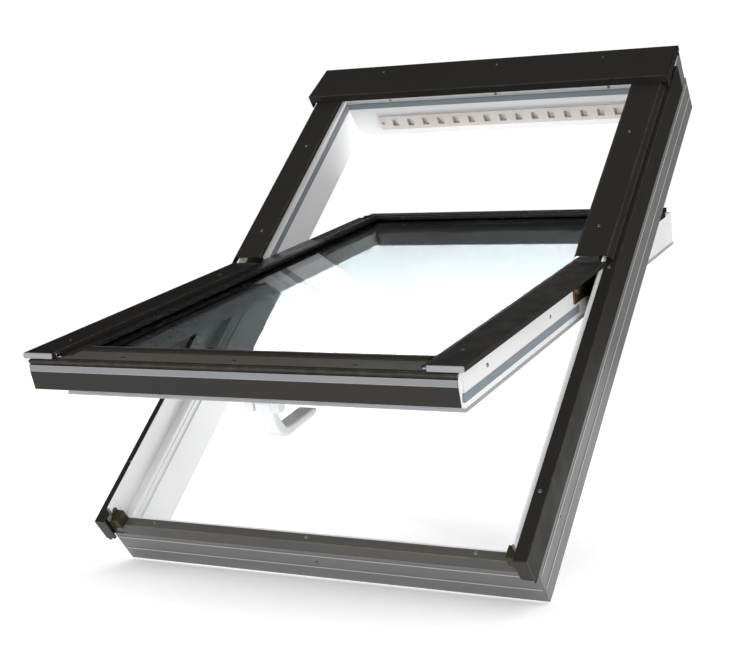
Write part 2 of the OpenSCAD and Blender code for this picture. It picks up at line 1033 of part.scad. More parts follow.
/* ---- handle ---- */
module handle_base() {
  color(plastic_white)
    swung()
      difference() {
        translate([-handle_w / 2, base_v[0], base_n])
          cube([handle_w, base_v[1] - base_v[0], sash_n0 + lip_t - base_n]);
        translate([-lever_w / 2 - 0.6, base_v[0] - 1, base_n - 1])
          cube([lever_w + 1.2, base_v[1] - base_v[0] + 2, sash_n0 - base_n - 1]);
        translate([-handle_w / 2 + 6, pivot_v, pivot_n])
          rotate([0, 90, 0])
            cylinder(h = handle_w - 12, r = pin_r, $fn = 32);
      }
}

// Axle of the lever, held in the base's two cheeks.
module handle_pin() {
  color(steel_grey)
    swung()
      translate([-handle_w / 2 + 6, pivot_v, pivot_n])
        rotate([0, 90, 0])
          cylinder(h = handle_w - 12, r = pin_r, $fn = 32);
}

module handle_lever() {
  end_v = pivot_v + lever_reach;
  color(plastic_white)
    swung()
      difference() {
        across(-lever_w / 2, lever_w / 2)
          union() {
            translate([pivot_v, pivot_n]) circle(r = 8, $fn = 64);
            polygon([
              [pivot_v - 8, pivot_n], [pivot_v - 4, 34], [pivot_v + 4, 14], [pivot_v + 13, 0],
              [pivot_v + 24, -8], [pivot_v + 40, -10], [end_v - 8, -5], [end_v, 0],
              [end_v, 5], [end_v - 8, 8], [pivot_v + 42, 4], [pivot_v + 32, 7],
              [pivot_v + 21, 20], [pivot_v + 10, 38], [pivot_v + 8, pivot_n]
            ]);
          }
        translate([-lever_w / 2 + 3, pivot_v + 46, -3])
          cube([lever_w - 6, lever_reach - 54, 20]);
        translate([-lever_w, pivot_v, pivot_n])
          rotate([0, 90, 0])
            cylinder(h = 2 * lever_w, r = pin_r + 0.05, $fn = 32);
      }
}

frame_rail_side(-1);  // frame_rail_left
frame_rail_side(1);  // frame_rail_right
frame_rail_top();
frame_rail_bottom();
frame_steel_side(-1);  // frame_steel_left
frame_steel_side(1);  // frame_steel_right
frame_steel_end(-1);  // frame_steel_top
frame_steel_end(1);  // frame_steel_bottom
frame_gasket();
side_cladding(-1);  // side_cladding_left
side_cladding(1);  // side_cladding_right
bottom_cladding();
cladding_end(-1);  // cladding_end_left
cladding_end(1);  // cladding_end_right
corner_block(-1);  // corner_block_left
corner_block(1);  // corner_block_right
cover_mount(-1);  // cover_mount_left
cover_mount(1);  // cover_mount_right
upper_cover(-1);  // upper_cover_left
upper_cover(1);  // upper_cover_right
top_hood();
hood_end(-1);  // hood_end_left
hood_end(1);  // hood_end_right
vent_grille();
vent_shutter();
vent_screws();
hinge_shoe(-1);  // hinge_shoe_left
hinge_shoe(1);  // hinge_shoe_right
frame_screws();
sash_rail_side(-1);  // sash_rail_left
sash_rail_side(1);  // sash_rail_right
sash_rail_top();
sash_rail_bottom();
sash_steel_side(-1);  // sash_steel_left
sash_steel_side(1);  // sash_steel_right
sash_steel_end(-1);  // sash_steel_top
sash_steel_end(1);  // sash_steel_bottom
sash_lip();
sash_gasket();
glass_pane(glass_n);  // inner_pane
glazing_spacer();
glass_pane(outer_n);  // outer_pane
glazing_gasket();
bead_side(-1);  // bead_left
bead_side(1);  // bead_right
bead_top();
front_cladding();
front_end(-1);  // front_end_left
front_end(1);  // front_end_right
strip(-1);  // strip_left
strip(1);  // strip_right
strip_cap(-1);  // strip_cap_left
strip_cap(1);  // strip_cap_right
strip_clips();
hinge_arm(-1);  // hinge_arm_left
hinge_arm(1);  // hinge_arm_right
sash_screws();
handle_base();
handle_pin();
handle_lever();
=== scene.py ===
# %% [markdown]
# # A roof window, open in its roof
# A roof window is two rectangles of hollow plastic rail, one inside the other. The outer one, the
# frame, is screwed into the roof. The inner one, the sash, holds the glass and turns about its
# middle. Folded metal covers everything that rain can reach.
#
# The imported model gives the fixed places. Everything here is built round it.

# %% Load the fixed model
import json
import math

import bmesh
import bpy
import numpy as np
from mathutils import Matrix, Vector


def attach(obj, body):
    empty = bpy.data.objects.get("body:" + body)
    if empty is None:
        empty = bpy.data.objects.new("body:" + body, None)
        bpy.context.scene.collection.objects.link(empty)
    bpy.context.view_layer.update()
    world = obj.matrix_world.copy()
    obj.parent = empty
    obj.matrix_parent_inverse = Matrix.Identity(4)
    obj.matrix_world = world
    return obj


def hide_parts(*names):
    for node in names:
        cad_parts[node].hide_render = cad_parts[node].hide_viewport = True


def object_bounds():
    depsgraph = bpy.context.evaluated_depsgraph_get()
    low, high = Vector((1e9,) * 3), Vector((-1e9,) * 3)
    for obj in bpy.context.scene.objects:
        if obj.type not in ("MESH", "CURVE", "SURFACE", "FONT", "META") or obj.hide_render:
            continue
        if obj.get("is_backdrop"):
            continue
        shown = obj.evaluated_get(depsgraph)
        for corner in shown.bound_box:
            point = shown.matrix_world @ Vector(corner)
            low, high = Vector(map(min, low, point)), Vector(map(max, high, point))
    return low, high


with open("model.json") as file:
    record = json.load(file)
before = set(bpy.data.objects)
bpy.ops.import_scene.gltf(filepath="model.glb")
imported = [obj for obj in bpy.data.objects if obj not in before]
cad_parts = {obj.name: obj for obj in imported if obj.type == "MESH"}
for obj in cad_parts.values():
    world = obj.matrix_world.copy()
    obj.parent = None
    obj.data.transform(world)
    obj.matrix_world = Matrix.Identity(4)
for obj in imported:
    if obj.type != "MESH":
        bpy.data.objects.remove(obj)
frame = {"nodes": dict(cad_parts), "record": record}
cad_low, cad_high = (list(corner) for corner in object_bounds())
record = frame["record"]
print("model box, m:", [round(b - a, 3) for a, b in zip(cad_low, cad_high)])

# %% [markdown]
# ## Window coordinates
# The window lies in a sloping roof, so world X, Y and Z are awkward for it. It is easier to
# think in x across the window, v up the slope from the swing axis, and n out of the roof.
# The room-side mount gives the slope's direction, and the hinge joint gives the axis and the
# angle by which the sash stands open.

# %% Directions of the roof
pivot = next(j for j in record["behaviour"]["joints"] if j["name"] == "sash_pivot")
room = next(m for m in record["mounts"] if m["name"] == "room_face")
out_dir = -np.array(room["axis"])
up_dir = np.cross(out_dir, [1.0, 0.0, 0.0])
AXIS = np.array(pivot["pos_m"])
AXIS_N = 165.0  # level of the swing axis above the room-side face, mm
OPEN = math.radians(pivot["range_deg"][0])
print("slope direction", up_dir.round(3), "sash open by", round(math.degrees(-OPEN), 1), "degrees")


def place(x, v, n, swung):
    """World point in metres: the swing axis, plus x across, v up the slope and n - 165 outwards.
    A swung point first has (v, n - 165) turned by the opening angle."""
    x, v, n = np.broadcast_arrays(*(np.asarray(a, float) for a in (x, v, n)))
    m = n - AXIS_N
    if swung:
        v, m = v * math.cos(OPEN) - m * math.sin(OPEN), v * math.sin(OPEN) + m * math.cos(OPEN)
    across = x[..., None] * np.array([1.0, 0.0, 0.0])
    return AXIS + 0.001 * (across + v[..., None] * up_dir + m[..., None] * out_dir)


# %% [markdown]
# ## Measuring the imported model
# A new piece must sit exactly where its fixed solid sits. The reach of a solid in window
# coordinates is the inverse of the placing above, taken over all its points, so each piece
# below takes its ends and levels from the model itself.

# %% Reach of a solid
def reach(name, swung=False):
    """Lowest and highest (x, v, n) of a solid in millimetres, by turning its points back."""
    mesh = frame["nodes"][name].data
    flat = np.zeros(3 * len(mesh.vertices))
    mesh.vertices.foreach_get("co", flat)
    rel = 1000.0 * (flat.reshape(-1, 3) - AXIS)
    x, v, m = rel[:, 0], rel @ up_dir, rel @ out_dir
    if swung:
        v, m = v * math.cos(OPEN) + m * math.sin(OPEN), -v * math.sin(OPEN) + m * math.cos(OPEN)
    points = np.stack([x, v, m + AXIS_N], 1)
    return points.min(0), points.max(0)


for name in ("side_cladding_right", "top_hood"):
    print(name, [r.round(1).tolist() for r in reach(name)])

# %% [markdown]
# ## Camera
# The camera stands in front and a little to the right, about level with the window's middle,
# and looks slightly down. A long lens keeps the slope's edges nearly parallel.

# %% Camera
eye = Vector((1.1365, -2.0960, 0.4975))
ahead = Vector((-0.4486, 0.8929, -0.0390)).normalized()
right = ahead.cross(Vector((-0.016, 0.036, 0.999))).normalized()
lift = right.cross(ahead)
camera = bpy.data.objects.new("camera", bpy.data.cameras.new("camera"))
rows = [[right[i], lift[i], -ahead[i], eye[i]] for i in range(3)]
camera.matrix_world = Matrix(rows + [[0, 0, 0, 1]])
camera.data.lens = 69.5
camera.data.clip_start, camera.data.clip_end = 0.05, 60
bpy.context.collection.objects.link(camera)
bpy.context.scene.camera = camera
print("camera at", [round(c, 3) for c in eye])

# %% [markdown]
# ## Floor, studio and lamps
# A studio for glass has a bright sheet behind the object and darkness above it. The sheet shows
# through the panes, and the dark ceiling is what the panes and the painted covers mirror. The
# world does this by direction: bright below about 14.5 degrees, dark above 17, and dark too where
# the sheet ends on the left, and where a black flag stands on the right, which keeps the outer
# skirts from mirroring the sheet. Matt surfaces get an even white light instead, as from a room full
# of soft boxes.

# %% Studio
world = bpy.data.worlds.new("studio")
bpy.context.scene.world = world
world.use_nodes = True
sky = world.node_tree
height = sky.nodes.new("ShaderNodeSeparateXYZ")
sky.links.new(sky.nodes.new("ShaderNodeTexCoord").outputs["Generated"], height.inputs[0])
rays = sky.nodes.new("ShaderNodeLightPath")
SHEET_LIGHT = 15.0  # the sheet, for rays that come straight through glass
CEILING = 0.03      # the dark above it
EVEN = 1.04         # what the matt surfaces get
FADE_LOW, FADE_HIGH = 0.25, 0.29  # upward part of a direction, where the sheet fades out
LEFT_FLAG, RIGHT_FLAG = (-0.77, 0.2), (0.4, 0.4)  # middle and half width, in radians of turn
FLAG_DARK = 0.97    # share of the light that a flag takes away


def sky_math(operation, a, b, c=0.0):
    """One step of arithmetic in the world's own network."""
    item = sky.nodes.new("ShaderNodeMath")
    item.operation = operation
    for socket, value in zip(item.inputs, (a, b, c)):
        if isinstance(value, bpy.types.NodeSocket):
            sky.links.new(value, socket)
        else:
            socket.default_value = value
    return item.outputs[0]


fade = sky.nodes.new("ShaderNodeMapRange")
sky.links.new(height.outputs["Z"], fade.inputs["Value"])
fade_ends = {"From Min": FADE_LOW, "From Max": FADE_HIGH, "To Min": 1.0, "To Max": CEILING}
for key, value in fade_ends.items():
    fade.inputs[key].default_value = value
turn = sky_math("ARCTAN2", height.outputs["X"], height.outputs["Y"])
at_left, at_right = (sky_math("COMPARE", turn, *side) for side in (LEFT_FLAG, RIGHT_FLAG))
flag = sky_math("MULTIPLY", sky_math("MAXIMUM", at_left, at_right), FLAG_DARK)
sheet = sky_math("MULTIPLY", fade.outputs[0], sky_math("SUBTRACT", 1.0, flag))
bounced = sky_math("ADD", rays.outputs["Diffuse Depth"], rays.outputs["Glossy Depth"])
seen = sky_math("MULTIPLY", rays.outputs["Is Transmission Ray"], sky_math("LESS_THAN", bounced, 0.5))
through = sky_math("MULTIPLY", sheet, sky_math("MULTIPLY_ADD", seen, SHEET_LIGHT - 1, 1.0))
even = sky_math("MAXIMUM", rays.outputs["Is Camera Ray"], rays.outputs["Is Diffuse Ray"])
rest = sky_math("MULTIPLY", sky_math("SUBTRACT", 1.0, even), through)
light = sky_math("ADD", sky_math("MULTIPLY", even, EVEN), rest)
sky.links.new(light, sky.nodes["Background"].inputs["Strength"])
sky.nodes["Background"].inputs["Color"].default_value = (1, 1, 1, 1)
bpy.context.scene.view_settings.view_transform = "Standard"


def lamp(name, spot, aim, size, watts):
    """A square soft lamp at spot that faces aim."""
    data = bpy.data.lights.new(name, "AREA")
    data.shape, data.size, data.energy = "SQUARE", size, watts
    item = bpy.data.objects.new(name, data)
    item.location = spot
    item.rotation_euler = (Vector(aim) - Vector(spot)).to_track_quat("-Z", "Y").to_euler()
    bpy.context.collection.objects.link(item)
    return item


lamp("key_lamp", (2.6, -2.2, 1.6), (0, 0.3, 0.4), 1.6, 5)
lamp("front_lamp", (0.4, -2.9, 0.35), (0, 0.4, 0.5), 1.6, 15)
inside_lamp = lamp("inside_lamp", (0.0, 0.95, 0.35), (-0.25, 0.6, 0.8), 0.5, 9)
inside_lamp.visible_camera = inside_lamp.visible_glossy = inside_lamp.visible_transmission = False

FLOOR_HALF, FLOOR_GAP = 4.0, 0.002  # metres
floor_mesh = bpy.data.meshes.new("floor")
half, level = FLOOR_HALF, cad_low[2] - FLOOR_GAP
corners = [(-half, -half, level), (half, -half, level), (half, half, level), (-half, half, level)]
floor_mesh.from_pydata(corners, [], [(0, 1, 2, 3)])
floor = bpy.data.objects.new("floor", floor_mesh)
bpy.context.collection.objects.link(floor)
floor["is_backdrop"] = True
print("floor at", round(level, 4))

# %% [markdown]
# ## Outlines
# Most of a window is made by pushing plastic through a die or by folding sheet metal, so most
# pieces are one outline carried along a straight line. No real corner is perfectly sharp. Each
# outline gets its corners cut back and joined by a short curve, which is what catches the light.
# The rounded outward corners are also where paint wears, so they are marked as the points are
# made.

# %% Outlines with rounded corners
def arcs(corners, before, after, radius, steps):
    """Quadratic Bezier arc at each corner C from A to B, both cut back from it by the radius:
    (1-t)^2 A + 2t(1-t) C + t^2 B."""
    to_a, to_b = before - corners, after - corners
    len_a, len_b = np.linalg.norm(to_a, axis=1), np.linalg.norm(to_b, axis=1)
    cut = np.minimum(radius, 0.45 * np.minimum(len_a, len_b))[:, None]
    a, b = corners + to_a / len_a[:, None] * cut, corners + to_b / len_b[:, None] * cut
    t = np.linspace(0, 1, steps + 1)[None, :, None]
    curve = (1 - t) ** 2 * a[:, None] + 2 * t * (1 - t) * corners[:, None] + t**2 * b[:, None]
    return curve.reshape(-1, 2)


def twice_area(points):
    """Twice the signed area of a closed outline: the sum of the cross products of neighbours."""
    nxt = np.roll(points, -1, 0)
    return float(np.sum(points[:, 0] * nxt[:, 1] - points[:, 1] * nxt[:, 0]))


FULL_BEND = 1.2   # radians of turn at which a corner counts as sharp
SAME_POINT = 1e-5  # mm


def soften(points, radius=1.0, steps=4):
    """Closed outline with every corner rounded. Wear rises to 1 in the middle of a sharp corner
    that points outwards, and is 0 on the flats."""
    p = np.asarray(points, float)
    before, after = np.roll(p, 1, 0), np.roll(p, -1, 0)
    curve = arcs(p, before, after, np.broadcast_to(np.asarray(radius, float), len(p)), steps)
    a, b = p - before, after - p
    outward = (a[:, 0] * b[:, 1] - a[:, 1] * b[:, 0]) * np.sign(twice_area(p)) > 0
    bend = np.abs(np.arctan2(a[:, 0] * b[:, 1] - a[:, 1] * b[:, 0], np.sum(a * b, axis=1)))
    share = outward * np.minimum(1, bend / FULL_BEND)
    wear = (share[:, None] * np.sin(np.linspace(0, np.pi, steps + 1))).reshape(-1)
    keep = np.linalg.norm(np.roll(curve, -1, 0) - curve, axis=1) > SAME_POINT
    return curve[keep], wear[keep]


def folded(path, thick, bend=1.6, steps=4):
    """Outline of folded sheet: the outer line with rounded bends, then the same line moved
    sideways by the sheet's thickness and walked back. Wear is 1 on the outer bends."""
    p = np.asarray(path, float)
    inner = arcs(p[1:-1], p[:-2], p[2:], np.full(len(p) - 2, bend), steps)
    line = np.vstack([p[:1], inner, p[-1:]])
    step = np.diff(line, axis=0)
    side = np.stack([-step[:, 1], step[:, 0]], 1) / np.linalg.norm(step, axis=1)[:, None]
    normal = np.vstack([side[:1], side[:-1] + side[1:], side[-1:]])
    normal /= np.linalg.norm(normal, axis=1)[:, None]
    spread = np.concatenate([[1], 1 / np.sum(normal[1:-1] * side[1:], axis=1), [1]])
    back = line + thick * normal * spread[:, None]
    rub = np.tile(np.sin(np.linspace(0, np.pi, steps + 1)), len(p) - 2)
    wear = np.concatenate([[0], rub, [0], np.zeros(len(line))])
    return np.vstack([line, back[::-1]]), wear


demo, _ = folded([(0, 0), (0, 10), (20, 10)], -1.2)
print("a folded corner has", len(demo), "outline points")

# %% [markdown]
# ## Carrying an outline along a line
# A run is a grid: one direction goes round the outline, the other goes along the line. The two
# ends can lean, which gives a mitre, and can have a small rounded rim, made by drawing the last
# few outlines in a little. Distances round and along are kept as the piece's own UV map, in
# metres, so that die lines and brushing follow the run.

# %% Runs
def run(outline, way, start, end, swung=False, side=1, rim=0.0, tone=None):
    """Grid of points: outline point k, drawn in by r(1 - sin f) near the ends, at the distance
    start or end moved in by r(1 - cos f). An end given as (s, lean) is s + lean * first
    coordinate. The way is up the slope (outline in x, n) or across it (outline in v, n). With a
    rim, the end rows carry no wear, or it would spread over the flat end faces."""
    points, wear = outline
    turn = np.linspace(0, np.pi / 2, 5) if rim else np.array([np.pi / 2])
    inset, shift = rim * (1 - np.sin(turn)), rim * (1 - np.cos(turn)) * bool(rim)
    tangent = np.roll(points, -1, 0) - np.roll(points, 1, 0)
    inward = np.stack([-tangent[:, 1], tangent[:, 0]], 1) * np.sign(twice_area(points))
    inward /= np.linalg.norm(inward, axis=1)[:, None]
    flat = points[None] + np.concatenate([inset, inset[::-1]])[:, None, None] * inward[None]
    (s0, s1), (e0, e1) = ((a, 0.0) if np.isscalar(a) else a for a in (start, end))
    low = s0 + s1 * flat[: len(turn), :, 0] + shift[:, None]
    high = e0 + e1 * flat[len(turn):, :, 0] - shift[::-1][:, None]
    along = np.vstack([low, high])
    if way == "up":
        grid = place(side * flat[..., 0], along, flat[..., 1], swung)
    else:
        grid = place(side * along, flat[..., 0], flat[..., 1], swung)
    edge = np.roll(points, -1, 0) - points
    middle = points + 0.5 * edge
    return {
        "grid": grid,
        "wear": wear * np.concatenate([[not rim], np.ones(len(along) - 2), [not rim]])[:, None],
        "round": 0.001 * np.concatenate([[0], np.cumsum(np.linalg.norm(edge, axis=1))]),
        "along": 0.001 * along,
        "cap": 0.001 * flat[[0, -1]],
        "tone": np.zeros(len(points), int) if tone is None else tone(middle, edge).astype(int),
    }


# %% [markdown]
# ## From grids to an object
# All grids of a piece go into one mesh: a ring of quads for each step along, and one many-sided
# face at each end. The faces are then turned outwards, shaded smooth except where they meet at
# more than 35 degrees, and the flat faces are given the say over the shading, so that a rounded
# corner doesn't bend the light on the flats beside it.

# %% Pieces
SHARP_FROM = 35  # degrees between two faces


def faces_of(part, first):
    """Quads between neighbouring rows and columns, then the two end caps, as point numbers."""
    rows, cols = part["grid"].shape[:2]
    number = first + np.arange(rows * cols).reshape(rows, cols)
    nxt = np.roll(number, -1, 1)
    quads = np.stack([number[:-1], nxt[:-1], nxt[1:], number[1:]], -1).reshape(-1, 4)
    u0 = np.broadcast_to(part["round"][:-1], (rows - 1, cols))
    u1 = np.broadcast_to(part["round"][1:], (rows - 1, cols))
    low, high = part["along"][:-1], part["along"][1:]
    low1, high1 = np.roll(low, -1, 1), np.roll(high, -1, 1)
    uv = np.stack([np.stack([u0, u1, u1, u0], -1), np.stack([low, low1, high1, high], -1)], -1)
    faces = quads.tolist() + [number[0].tolist(), number[-1][::-1].tolist()]
    uv = np.vstack([uv.reshape(-1, 2), part["cap"][0], part["cap"][1][::-1]])
    tone = np.concatenate([np.tile(part["tone"], rows - 1), [0, 0]])
    return faces, uv, tone


def piece(name, parts, finishes, body, slot, *nodes):
    """One object from several grids, at the origin, riding on a body in place of the nodes."""
    points, faces, uvs, tones, wear = [], [], [], [], []
    count = 0
    for part in parts:
        new_faces, uv, tone = faces_of(part, count)
        faces += new_faces
        uvs.append(uv)
        tones.append(tone)
        points.append(part["grid"].reshape(-1, 3))
        wear.append(part["wear"].reshape(-1))
        count += len(points[-1])
    mesh = bpy.data.meshes.new(name)
    mesh.from_pydata(np.vstack(points).tolist(), [], faces)
    mesh.uv_layers.new(name="run").data.foreach_set("uv", np.vstack(uvs).ravel())
    mesh.attributes.new("wear", "FLOAT", "POINT").data.foreach_set("value", np.concatenate(wear))
    mesh.polygons.foreach_set("material_index", np.concatenate(tones))
    work = bmesh.new()
    work.from_mesh(mesh)
    bmesh.ops.recalc_face_normals(work, faces=work.faces)
    work.to_mesh(mesh)
    work.free()
    mesh.shade_smooth()
    mesh.set_sharp_from_angle(angle=math.radians(SHARP_FROM))
    item = bpy.data.objects.new(name, mesh)
    for finish in finishes:
        mesh.materials.append(finish)
    bpy.context.collection.objects.link(item)
    item.modifiers.new("flat_first", "WEIGHTED_NORMAL").keep_sharp = True
    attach(item, body)
    if nodes:
        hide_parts(*nodes)
    print(name, len(mesh.polygons), "faces")
    return item


# %% [markdown]
# ## Wiring a finish
# A finish is a small network of nodes. Three things make a plain colour look like a material:
# the colour drifts a little, the gloss drifts with it, and the surface has a fine relief.
# These helpers keep each recipe short. A value that is the same everywhere is set on the
# shader itself.

# %% Node helpers
def put(tree, kind, settings=None, **inputs):
    """Adds a node; each input is either a number, a colour or another node's output."""
    item = tree.nodes.new(kind)
    for key, value in (settings or {}).items():
        setattr(item, key, value)
    for key, value in inputs.items():
        socket = item.inputs[int(key[1:]) if key[0] == "i" and key[1:].isdigit() else key]
        if isinstance(value, bpy.types.NodeSocket):
            tree.links.new(value, socket)
        else:
            socket.default_value = value
    return item


def sums(tree, operation, a, b=0.0, clamp=False):
    """One step of arithmetic on two values."""
    settings = {"operation": operation, "use_clamp": clamp}
    return put(tree, "ShaderNodeMath", settings, i0=a, i1=b).outputs[0]


def between(tree, share, low, high):
    """Colour that goes from low to high as the share goes from 0 to 1."""
    low, high = ((*c, 1) if isinstance(c, tuple) and len(c) == 3 else c for c in (low, high))
    return put(tree, "ShaderNodeMix", {"data_type": "RGBA"}, i0=share, i6=low, i7=high).outputs[2]


def span(tree, value, from_low, from_high, low, high):
    """Value moved from one range to another, and held inside it."""
    keys = {"From Min": from_low, "From Max": from_high, "To Min": low, "To Max": high}
    return put(tree, "ShaderNodeMapRange", Value=value, **keys).outputs[0]


def clouds(tree, where, scale, detail=3.0):
    """Soft random pattern with features about 1/scale metres across."""
    return put(tree, "ShaderNodeTexNoise", Vector=where, Scale=scale, Detail=detail).outputs["Fac"]


def stretched(tree, where, scale, turn=(0.0, 0.0, 0.0)):
    """Coordinates turned and then multiplied, so that a pattern is drawn out along one of them."""
    return put(tree, "ShaderNodeMapping", Vector=where, Rotation=turn, Scale=scale).outputs[0]


def new_finish(name, **constants):
    """Material with its tree, its shader and the object's own coordinates."""
    material = bpy.data.materials.new(name)
    material.use_nodes = True
    tree = material.node_tree
    shader = tree.nodes["Principled BSDF"]
    for key, value in constants.items():
        shader.inputs[key.replace("_", " ")].default_value = value
    return material, tree, shader, tree.nodes.new("ShaderNodeTexCoord").outputs["Object"]


def finish_off(tree, shader, colour, rough, height, depth):
    """Joins colour, roughness and relief to the shader; the depth of the relief is in metres."""
    tree.links.new(colour, shader.inputs["Base Color"])
    tree.links.new(rough, shader.inputs["Roughness"])
    relief = put(tree, "ShaderNodeBump", Height=height, Distance=depth, Strength=0.6)
    tree.links.new(relief.outputs[0], shader.inputs["Normal"])


# %% [markdown]
# ## Painted sheet metal
# The covers are aluminium with a baked powder coat. Close up it has a fine orange-peel relief
# and a slightly uneven gloss, and along the folds the paint is rubbed a little lighter.

# %% Powder coat
def powder_coat(name, colour, rubbed, specular, gloss=(0.34, 0.5)):
    """Colour drifts by clouds; wear mixes in the rubbed colour where a fine noise is high."""
    material, tree, shader, where = new_finish(name, Specular_IOR_Level=specular)
    drift = clouds(tree, where, 7.0, 4.0)
    dust = clouds(tree, where, 900.0, 2.0)
    base = between(tree, drift, tuple(0.88 * c for c in colour), tuple(1.12 * c for c in colour))
    base = between(tree, sums(tree, "MULTIPLY", dust, 0.07), base, rubbed)
    worn = put(tree, "ShaderNodeAttribute", {"attribute_name": "wear"}).outputs["Fac"]
    rub = span(tree, clouds(tree, where, 60.0, 5.0), 0.38, 0.62, 0.1, 0.5)
    base = between(tree, sums(tree, "MULTIPLY", worn, rub), base, rubbed)
    rough = span(tree, clouds(tree, where, 22.0, 3.0), 0.3, 0.7, *gloss)
    peel = clouds(tree, where, 1400.0, 2.0)
    finish_off(tree, shader, base, rough, peel, 0.00005)
    return material


cladding_paint = powder_coat("cladding_paint", (0.020, 0.019, 0.0165), (0.08, 0.075, 0.068), 0.06)
skirt_paint = powder_coat("skirt_paint", (0.022, 0.019, 0.0155), (0.13, 0.12, 0.105), 0.18)
# Painted light: the sill paint is a lighter copy of the skirt's brown, for the sill and the nose's flat,
# which look up.
sill_painted_light = powder_coat("sill_painted_light", (0.085, 0.078, 0.070), (0.2, 0.19, 0.17), 0.25)
# Painted reflection: the band paint is a light grey copy of the same brown sheet, standing for the bright
# floor mirrored in the nose's upright band.
band_painted_reflection = powder_coat("band_painted_reflection", (0.225, 0.227, 0.24), (0.42, 0.42, 0.42), 0.15)
bead_paint = powder_coat("bead_paint", (0.010, 0.010, 0.010), (0.12, 0.115, 0.11), 0.3, (0.2, 0.34))
print("paints ready")

# %% [markdown]
# ## Extruded plastic
# The rails are white PVC pushed through a die, which leaves very fine lines along the rail.
# The rails are welded at 45 degrees in the corners, which leaves a thin seam. The outer faces,
# which are hidden in the roof, are grey, with two raised lines.

# %% White rails
def rail_plastic(name, swung, half_x, half_v, mid_v, outer_grey):
    """Grey where a point lies within 3 mm of the outer faces, white elsewhere; a seam where the
    distances to the side and to the end are equal."""
    material, tree, shader, where = new_finish(name, Specular_IOR_Level=0.3, IOR=1.53)
    angle = math.atan2(up_dir[2], up_dir[1]) + (OPEN if swung else 0.0)
    less = {"operation": "SUBTRACT"}
    moved = put(tree, "ShaderNodeVectorMath", less, i0=where, i1=tuple(AXIS)).outputs[0]
    lie = stretched(tree, moved, (1, 1, 1), (-angle, 0, 0))
    part = put(tree, "ShaderNodeSeparateXYZ", Vector=lie).outputs
    x = sums(tree, "ABSOLUTE", part[0])
    v = sums(tree, "ABSOLUTE", sums(tree, "SUBTRACT", part[1], 0.001 * mid_v))
    to_side = sums(tree, "SUBTRACT", 0.001 * half_x, x)
    to_end = sums(tree, "SUBTRACT", 0.001 * half_v, v)
    depth = sums(tree, "MINIMUM", to_side, to_end)
    drift = clouds(tree, where, 5.0, 4.0)
    base = between(tree, drift, (0.80, 0.80, 0.80), (0.88, 0.885, 0.89))
    if outer_grey:
        grey = between(tree, drift, (0.14, 0.138, 0.136), (0.185, 0.182, 0.18))
        grey = between(tree, span(tree, depth, -0.0004, -0.0006, 0, 1), grey, (0.5, 0.5, 0.5))
        base = between(tree, sums(tree, "LESS_THAN", depth, 0.003), base, grey)
    seam = sums(tree, "ABSOLUTE", sums(tree, "SUBTRACT", to_side, to_end))
    seam = span(tree, seam, 0.0001, 0.0005, 1, 0)
    base = between(tree, sums(tree, "MULTIPLY", seam, 0.35), base, (0.35, 0.34, 0.33))
    along = stretched(tree, lie, (900.0, 5.0, 900.0))
    across = stretched(tree, lie, (5.0, 900.0, 900.0))
    lines = sums(tree, "MINIMUM", clouds(tree, along, 1.0, 2.0), clouds(tree, across, 1.0, 2.0))
    height = sums(tree, "SUBTRACT", lines, seam)
    rough = span(tree, drift, 0.3, 0.7, 0.28, 0.42)
    finish_off(tree, shader, base, rough, height, 0.00008)
    return material


RAISED_LINE = 1  # the lines on a rail's outer face stand out by this much
frame_high = reach("frame_rail_right")[1]
half_w, half_h = frame_high[0] - RAISED_LINE, frame_high[1]
sash_low, sash_high = reach("sash_rail_right", True)
sash_half = 0.5 * (sash_high[1] - sash_low[1])
frame_pvc = rail_plastic("frame_pvc", False, half_w, half_h, 0.0, True)
sash_mid = sash_high[1] - sash_half
sash_pvc = rail_plastic("sash_pvc", True, sash_high[0], sash_half, sash_mid, False)
print("frame half width and height", round(half_w, 1), round(half_h, 1))
print("sash side", sash_high.round(1))

# %% [markdown]
# ## Moulded plastic and rubber
# The small caps and blocks are moulded, with a slightly pebbled skin. The seals are soft rubber
# with a dusty, uneven face and no shine.

# %% Moulded skin
def moulded(name, colour, light, rough_range, pebble, depth, specular=0.5, **constants):
    """Clouds drift the colour, and a pebbled noise gives the skin."""
    material, tree, shader, where = new_finish(name, Specular_IOR_Level=specular, **constants)
    drift = clouds(tree, where, 30.0, 4.0)
    base = between(tree, drift, colour, tuple(1.25 * c for c in colour))
    worn = put(tree, "ShaderNodeAttribute", {"attribute_name": "wear"}).outputs["Fac"]
    base = between(tree, sums(tree, "MULTIPLY", worn, span(tree, drift, 0.3, 0.7, 0.2, 0.7)), base, light)
    rough = span(tree, clouds(tree, where, 120.0, 3.0), 0.3, 0.7, *rough_range)
    finish_off(tree, shader, base, rough, clouds(tree, where, pebble, 2.0), depth)
    return material


corner_plastic = moulded(
    "corner_plastic", (0.030, 0.027, 0.011), (0.11, 0.10, 0.06),
    (0.35, 0.5), 900.0, 0.0001, 0.3)
end_plastic = moulded(
    "end_plastic", (0.024, 0.020, 0.015), (0.15, 0.135, 0.11),
    (0.3, 0.45), 700.0, 0.00006, 0.25)
hood_plastic = moulded(
    "hood_plastic", (0.012, 0.012, 0.012), (0.05, 0.05, 0.05),
    (0.4, 0.55), 900.0, 0.0001, 0.3)
cap_plastic = moulded(
    "cap_plastic", (0.27, 0.26, 0.28), (0.42, 0.41, 0.43),
    (0.3, 0.42), 1100.0, 0.00008)
handle_plastic = moulded(
    "handle_plastic", (0.76, 0.77, 0.78), (0.88, 0.88, 0.88),
    (0.18, 0.28), 500.0, 0.00003)
vent_plastic = moulded(
    "vent_plastic", (0.60, 0.56, 0.53), (0.8, 0.78, 0.75),
    (0.3, 0.42), 1300.0, 0.00006)
